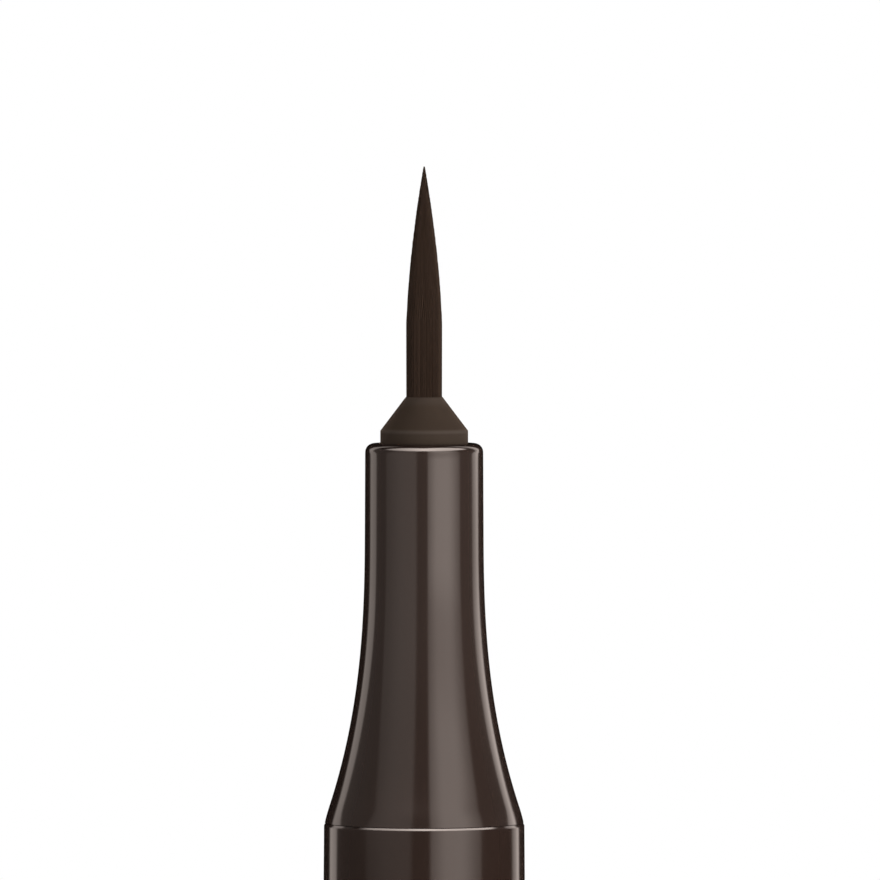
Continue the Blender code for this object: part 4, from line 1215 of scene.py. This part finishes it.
turn = np.linspace(0.0, 2.0 * np.pi * COIL_TURNS, COIL_TURNS * STEPS_A_TURN + 1)
climb = np.linspace(SPRING_LOW + WIRE_RADIUS, SPRING_HIGH - WIRE_RADIUS, len(turn))
coil = np.stack([COIL_RADIUS * np.cos(turn), COIL_RADIUS * np.sin(turn), climb], axis=1)
radial = np.stack([np.cos(turn), np.sin(turn), np.zeros(len(turn))], axis=1)
spring = swept("cap_spring", coil, WIRE_RADIUS, WIRE_SIDES, radial)
dress(spring, "inner_cap_spring")

PRESS = next(joint for joint in frame["joints"] if joint["name"] == "inner_cap_press")["range_m"][1] / MM
SPRING_KEPT = 1.0 - PRESS / (INNER_FOOT - CAP_FLOOR)
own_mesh(spring)
print("pressed, the spring keeps", round(SPRING_KEPT, 3), "of its length")

# %% [markdown]
# ## Inside the barrel
# The ink's way to the brush: a tank with a ball that stirs the ink, a plug with a rubber ring, a comb that
# takes up ink when the air in the tank warms, a fibre core in a steel pipe and a tube that holds the
# brush's root. None of it shows from outside, and the solids could simply stay, but a part is worth
# opening, so it gets rounds and finishes as well.

# %% Tank
TANK_FOOT, TANK_TOP = foot_of("ink_tank"), top_of("ink_tank")
TANK_RADIUS = 3.4
TANK_BORE = 2.8
TANK_FLOOR = TANK_FOOT + 1.0

tank = turned("tank", from_axis([
    (0.0, TANK_FLOOR, 0.0),
    (TANK_BORE, TANK_FLOOR, 0.5),
    (TANK_BORE, TANK_TOP, 0.1),
    (TANK_RADIUS, TANK_TOP, 0.12),
    (TANK_RADIUS, TANK_FOOT, 0.5),
    (0.0, TANK_FOOT, 0.0),
]), PLAIN_TURN)
dress(tank, "ink_tank")

# %% The tank's plug
STOPPER_FOOT, STOPPER_TOP = foot_of("tank_joint"), top_of("tank_joint")
STOPPER_REACH = 4.15
STOPPER_RADIUS = 2.75
STOPPER_STEP = STOPPER_FOOT + 5.0
STOPPER_BORE = 1.35
LEAD_IN = 0.3
SEAL_HEIGHT = STOPPER_FOOT + 2.5
SEAL_GROOVE = 2.37
SLOT_HALF = 0.24

stopper = turned("tank_plug", eased([
    (STOPPER_REACH, STOPPER_TOP, 0.15),
    (STOPPER_REACH, STOPPER_STEP, 0.1),
    (STOPPER_RADIUS, STOPPER_STEP, 0.05),
    (STOPPER_RADIUS, SEAL_HEIGHT + SLOT_HALF, 0.05),
    (SEAL_GROOVE, SEAL_HEIGHT + SLOT_HALF, 0.05),
    (SEAL_GROOVE, SEAL_HEIGHT - SLOT_HALF, 0.05),
    (STOPPER_RADIUS, SEAL_HEIGHT - SLOT_HALF, 0.05),
    (STOPPER_RADIUS, STOPPER_FOOT + LEAD_IN, 0.2),
    (STOPPER_RADIUS - LEAD_IN, STOPPER_FOOT, 0.1),
    (STOPPER_BORE, STOPPER_FOOT, 0.1),
    (STOPPER_BORE, STOPPER_TOP, 0.1),
]), PLAIN_TURN)
dress(stopper, "tank_joint")

# %% [markdown]
# ### The seal and the ball
# A rubber ring in the plug's groove keeps the ink in, and a steel ball in the tank stirs it. Blender has a
# ready torus and sphere, but the builders above give both with closed seams: a circle carried along a ring,
# and a half circle carried round the axis.

# %% Seal
SEAL_RADIUS = 2.585
SEAL_THICKNESS = 0.19
SEAL_SIDES = 20

turn = np.linspace(0.0, 2.0 * np.pi, PLAIN_TURN, endpoint=False)
radial = np.stack([np.cos(turn), np.sin(turn), np.zeros(PLAIN_TURN)], axis=1)
seal_line = SEAL_RADIUS * radial + (0.0, 0.0, SEAL_HEIGHT)
seal = swept("rubber_ring", seal_line, SEAL_THICKNESS, SEAL_SIDES, radial, ring=True)
dress(seal, "tank_seal")

# %% Ball
BALL_RADIUS = 1.5
BALL_HEIGHT = foot_of("mixing_ball") + BALL_RADIUS
BALL_RINGS = 41

tilt = np.linspace(-0.5 * np.pi, 0.5 * np.pi, BALL_RINGS)
half_circle = np.stack([BALL_RADIUS * np.cos(tilt), BALL_HEIGHT + BALL_RADIUS * np.sin(tilt)], axis=1)
half_circle[[0, -1], 0] = 0.0
ball = turned("steel_ball", half_circle, SMALL_TURN)
dress(ball, "mixing_ball")

# %% [markdown]
# ### Core, pipe and keeper
# The fibre core leads the ink up to the brush by its own suction, a thin steel pipe keeps it straight, and
# a milky tube presses the brush's root into its seat. Plain cylinders would have sharp ends, so these are
# three short profiles with small rounds.

# %% Core, pipe and keeper
CORE_FOOT, CORE_TOP = foot_of("relay_core"), top_of("relay_core")
CORE_RADIUS = 0.53
CORE_SIDES = 48

core = turned("fibre_core", from_axis([
    (0.0, CORE_TOP, 0.0),
    (CORE_RADIUS, CORE_TOP, 0.08),
    (CORE_RADIUS, CORE_FOOT, 0.08),
    (0.0, CORE_FOOT, 0.0),
]), CORE_SIDES)
dress(core, "relay_core")

PIPE_RADIUS, PIPE_BORE = 0.75, 0.58
tube("steel_pipe", "core_pipe", PIPE_RADIUS, PIPE_BORE, (0.04, 0.04, 0.03, 0.03), SMALL_TURN)

KEEPER_RADIUS, KEEPER_BORE = 1.35, 0.80
tube("root_keeper", "brush_retainer", KEEPER_RADIUS, KEEPER_BORE, (0.1, 0.1, 0.1, 0.05), PLAIN_TURN)

# %% [markdown]
# ### The comb
# The comb's thin fins, its air slot and its ink slot are all in the engineer's solid already. A finer copy
# would add nothing that shows, so the solid stays and only takes the milky finish.

# %% The comb keeps its solid
comb = frame["nodes"]["collector"]
comb.data.materials.clear()
comb.data.materials.append(FINISHES["milky_plastic"])
print("the comb keeps", len(comb.data.polygons), "faces")

# %% [markdown]
# ## Sizes
# The dressed pen has to stay inside the engineer's model. Both boxes are measured and compared.

# %% Compare the sizes
dressed_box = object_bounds()
gaps = [abs(a - b) for solid, fine in zip(cad_box, dressed_box) for a, b in zip(solid, fine)]
print("largest difference", round(max(gaps) / MM, 4), "mm")
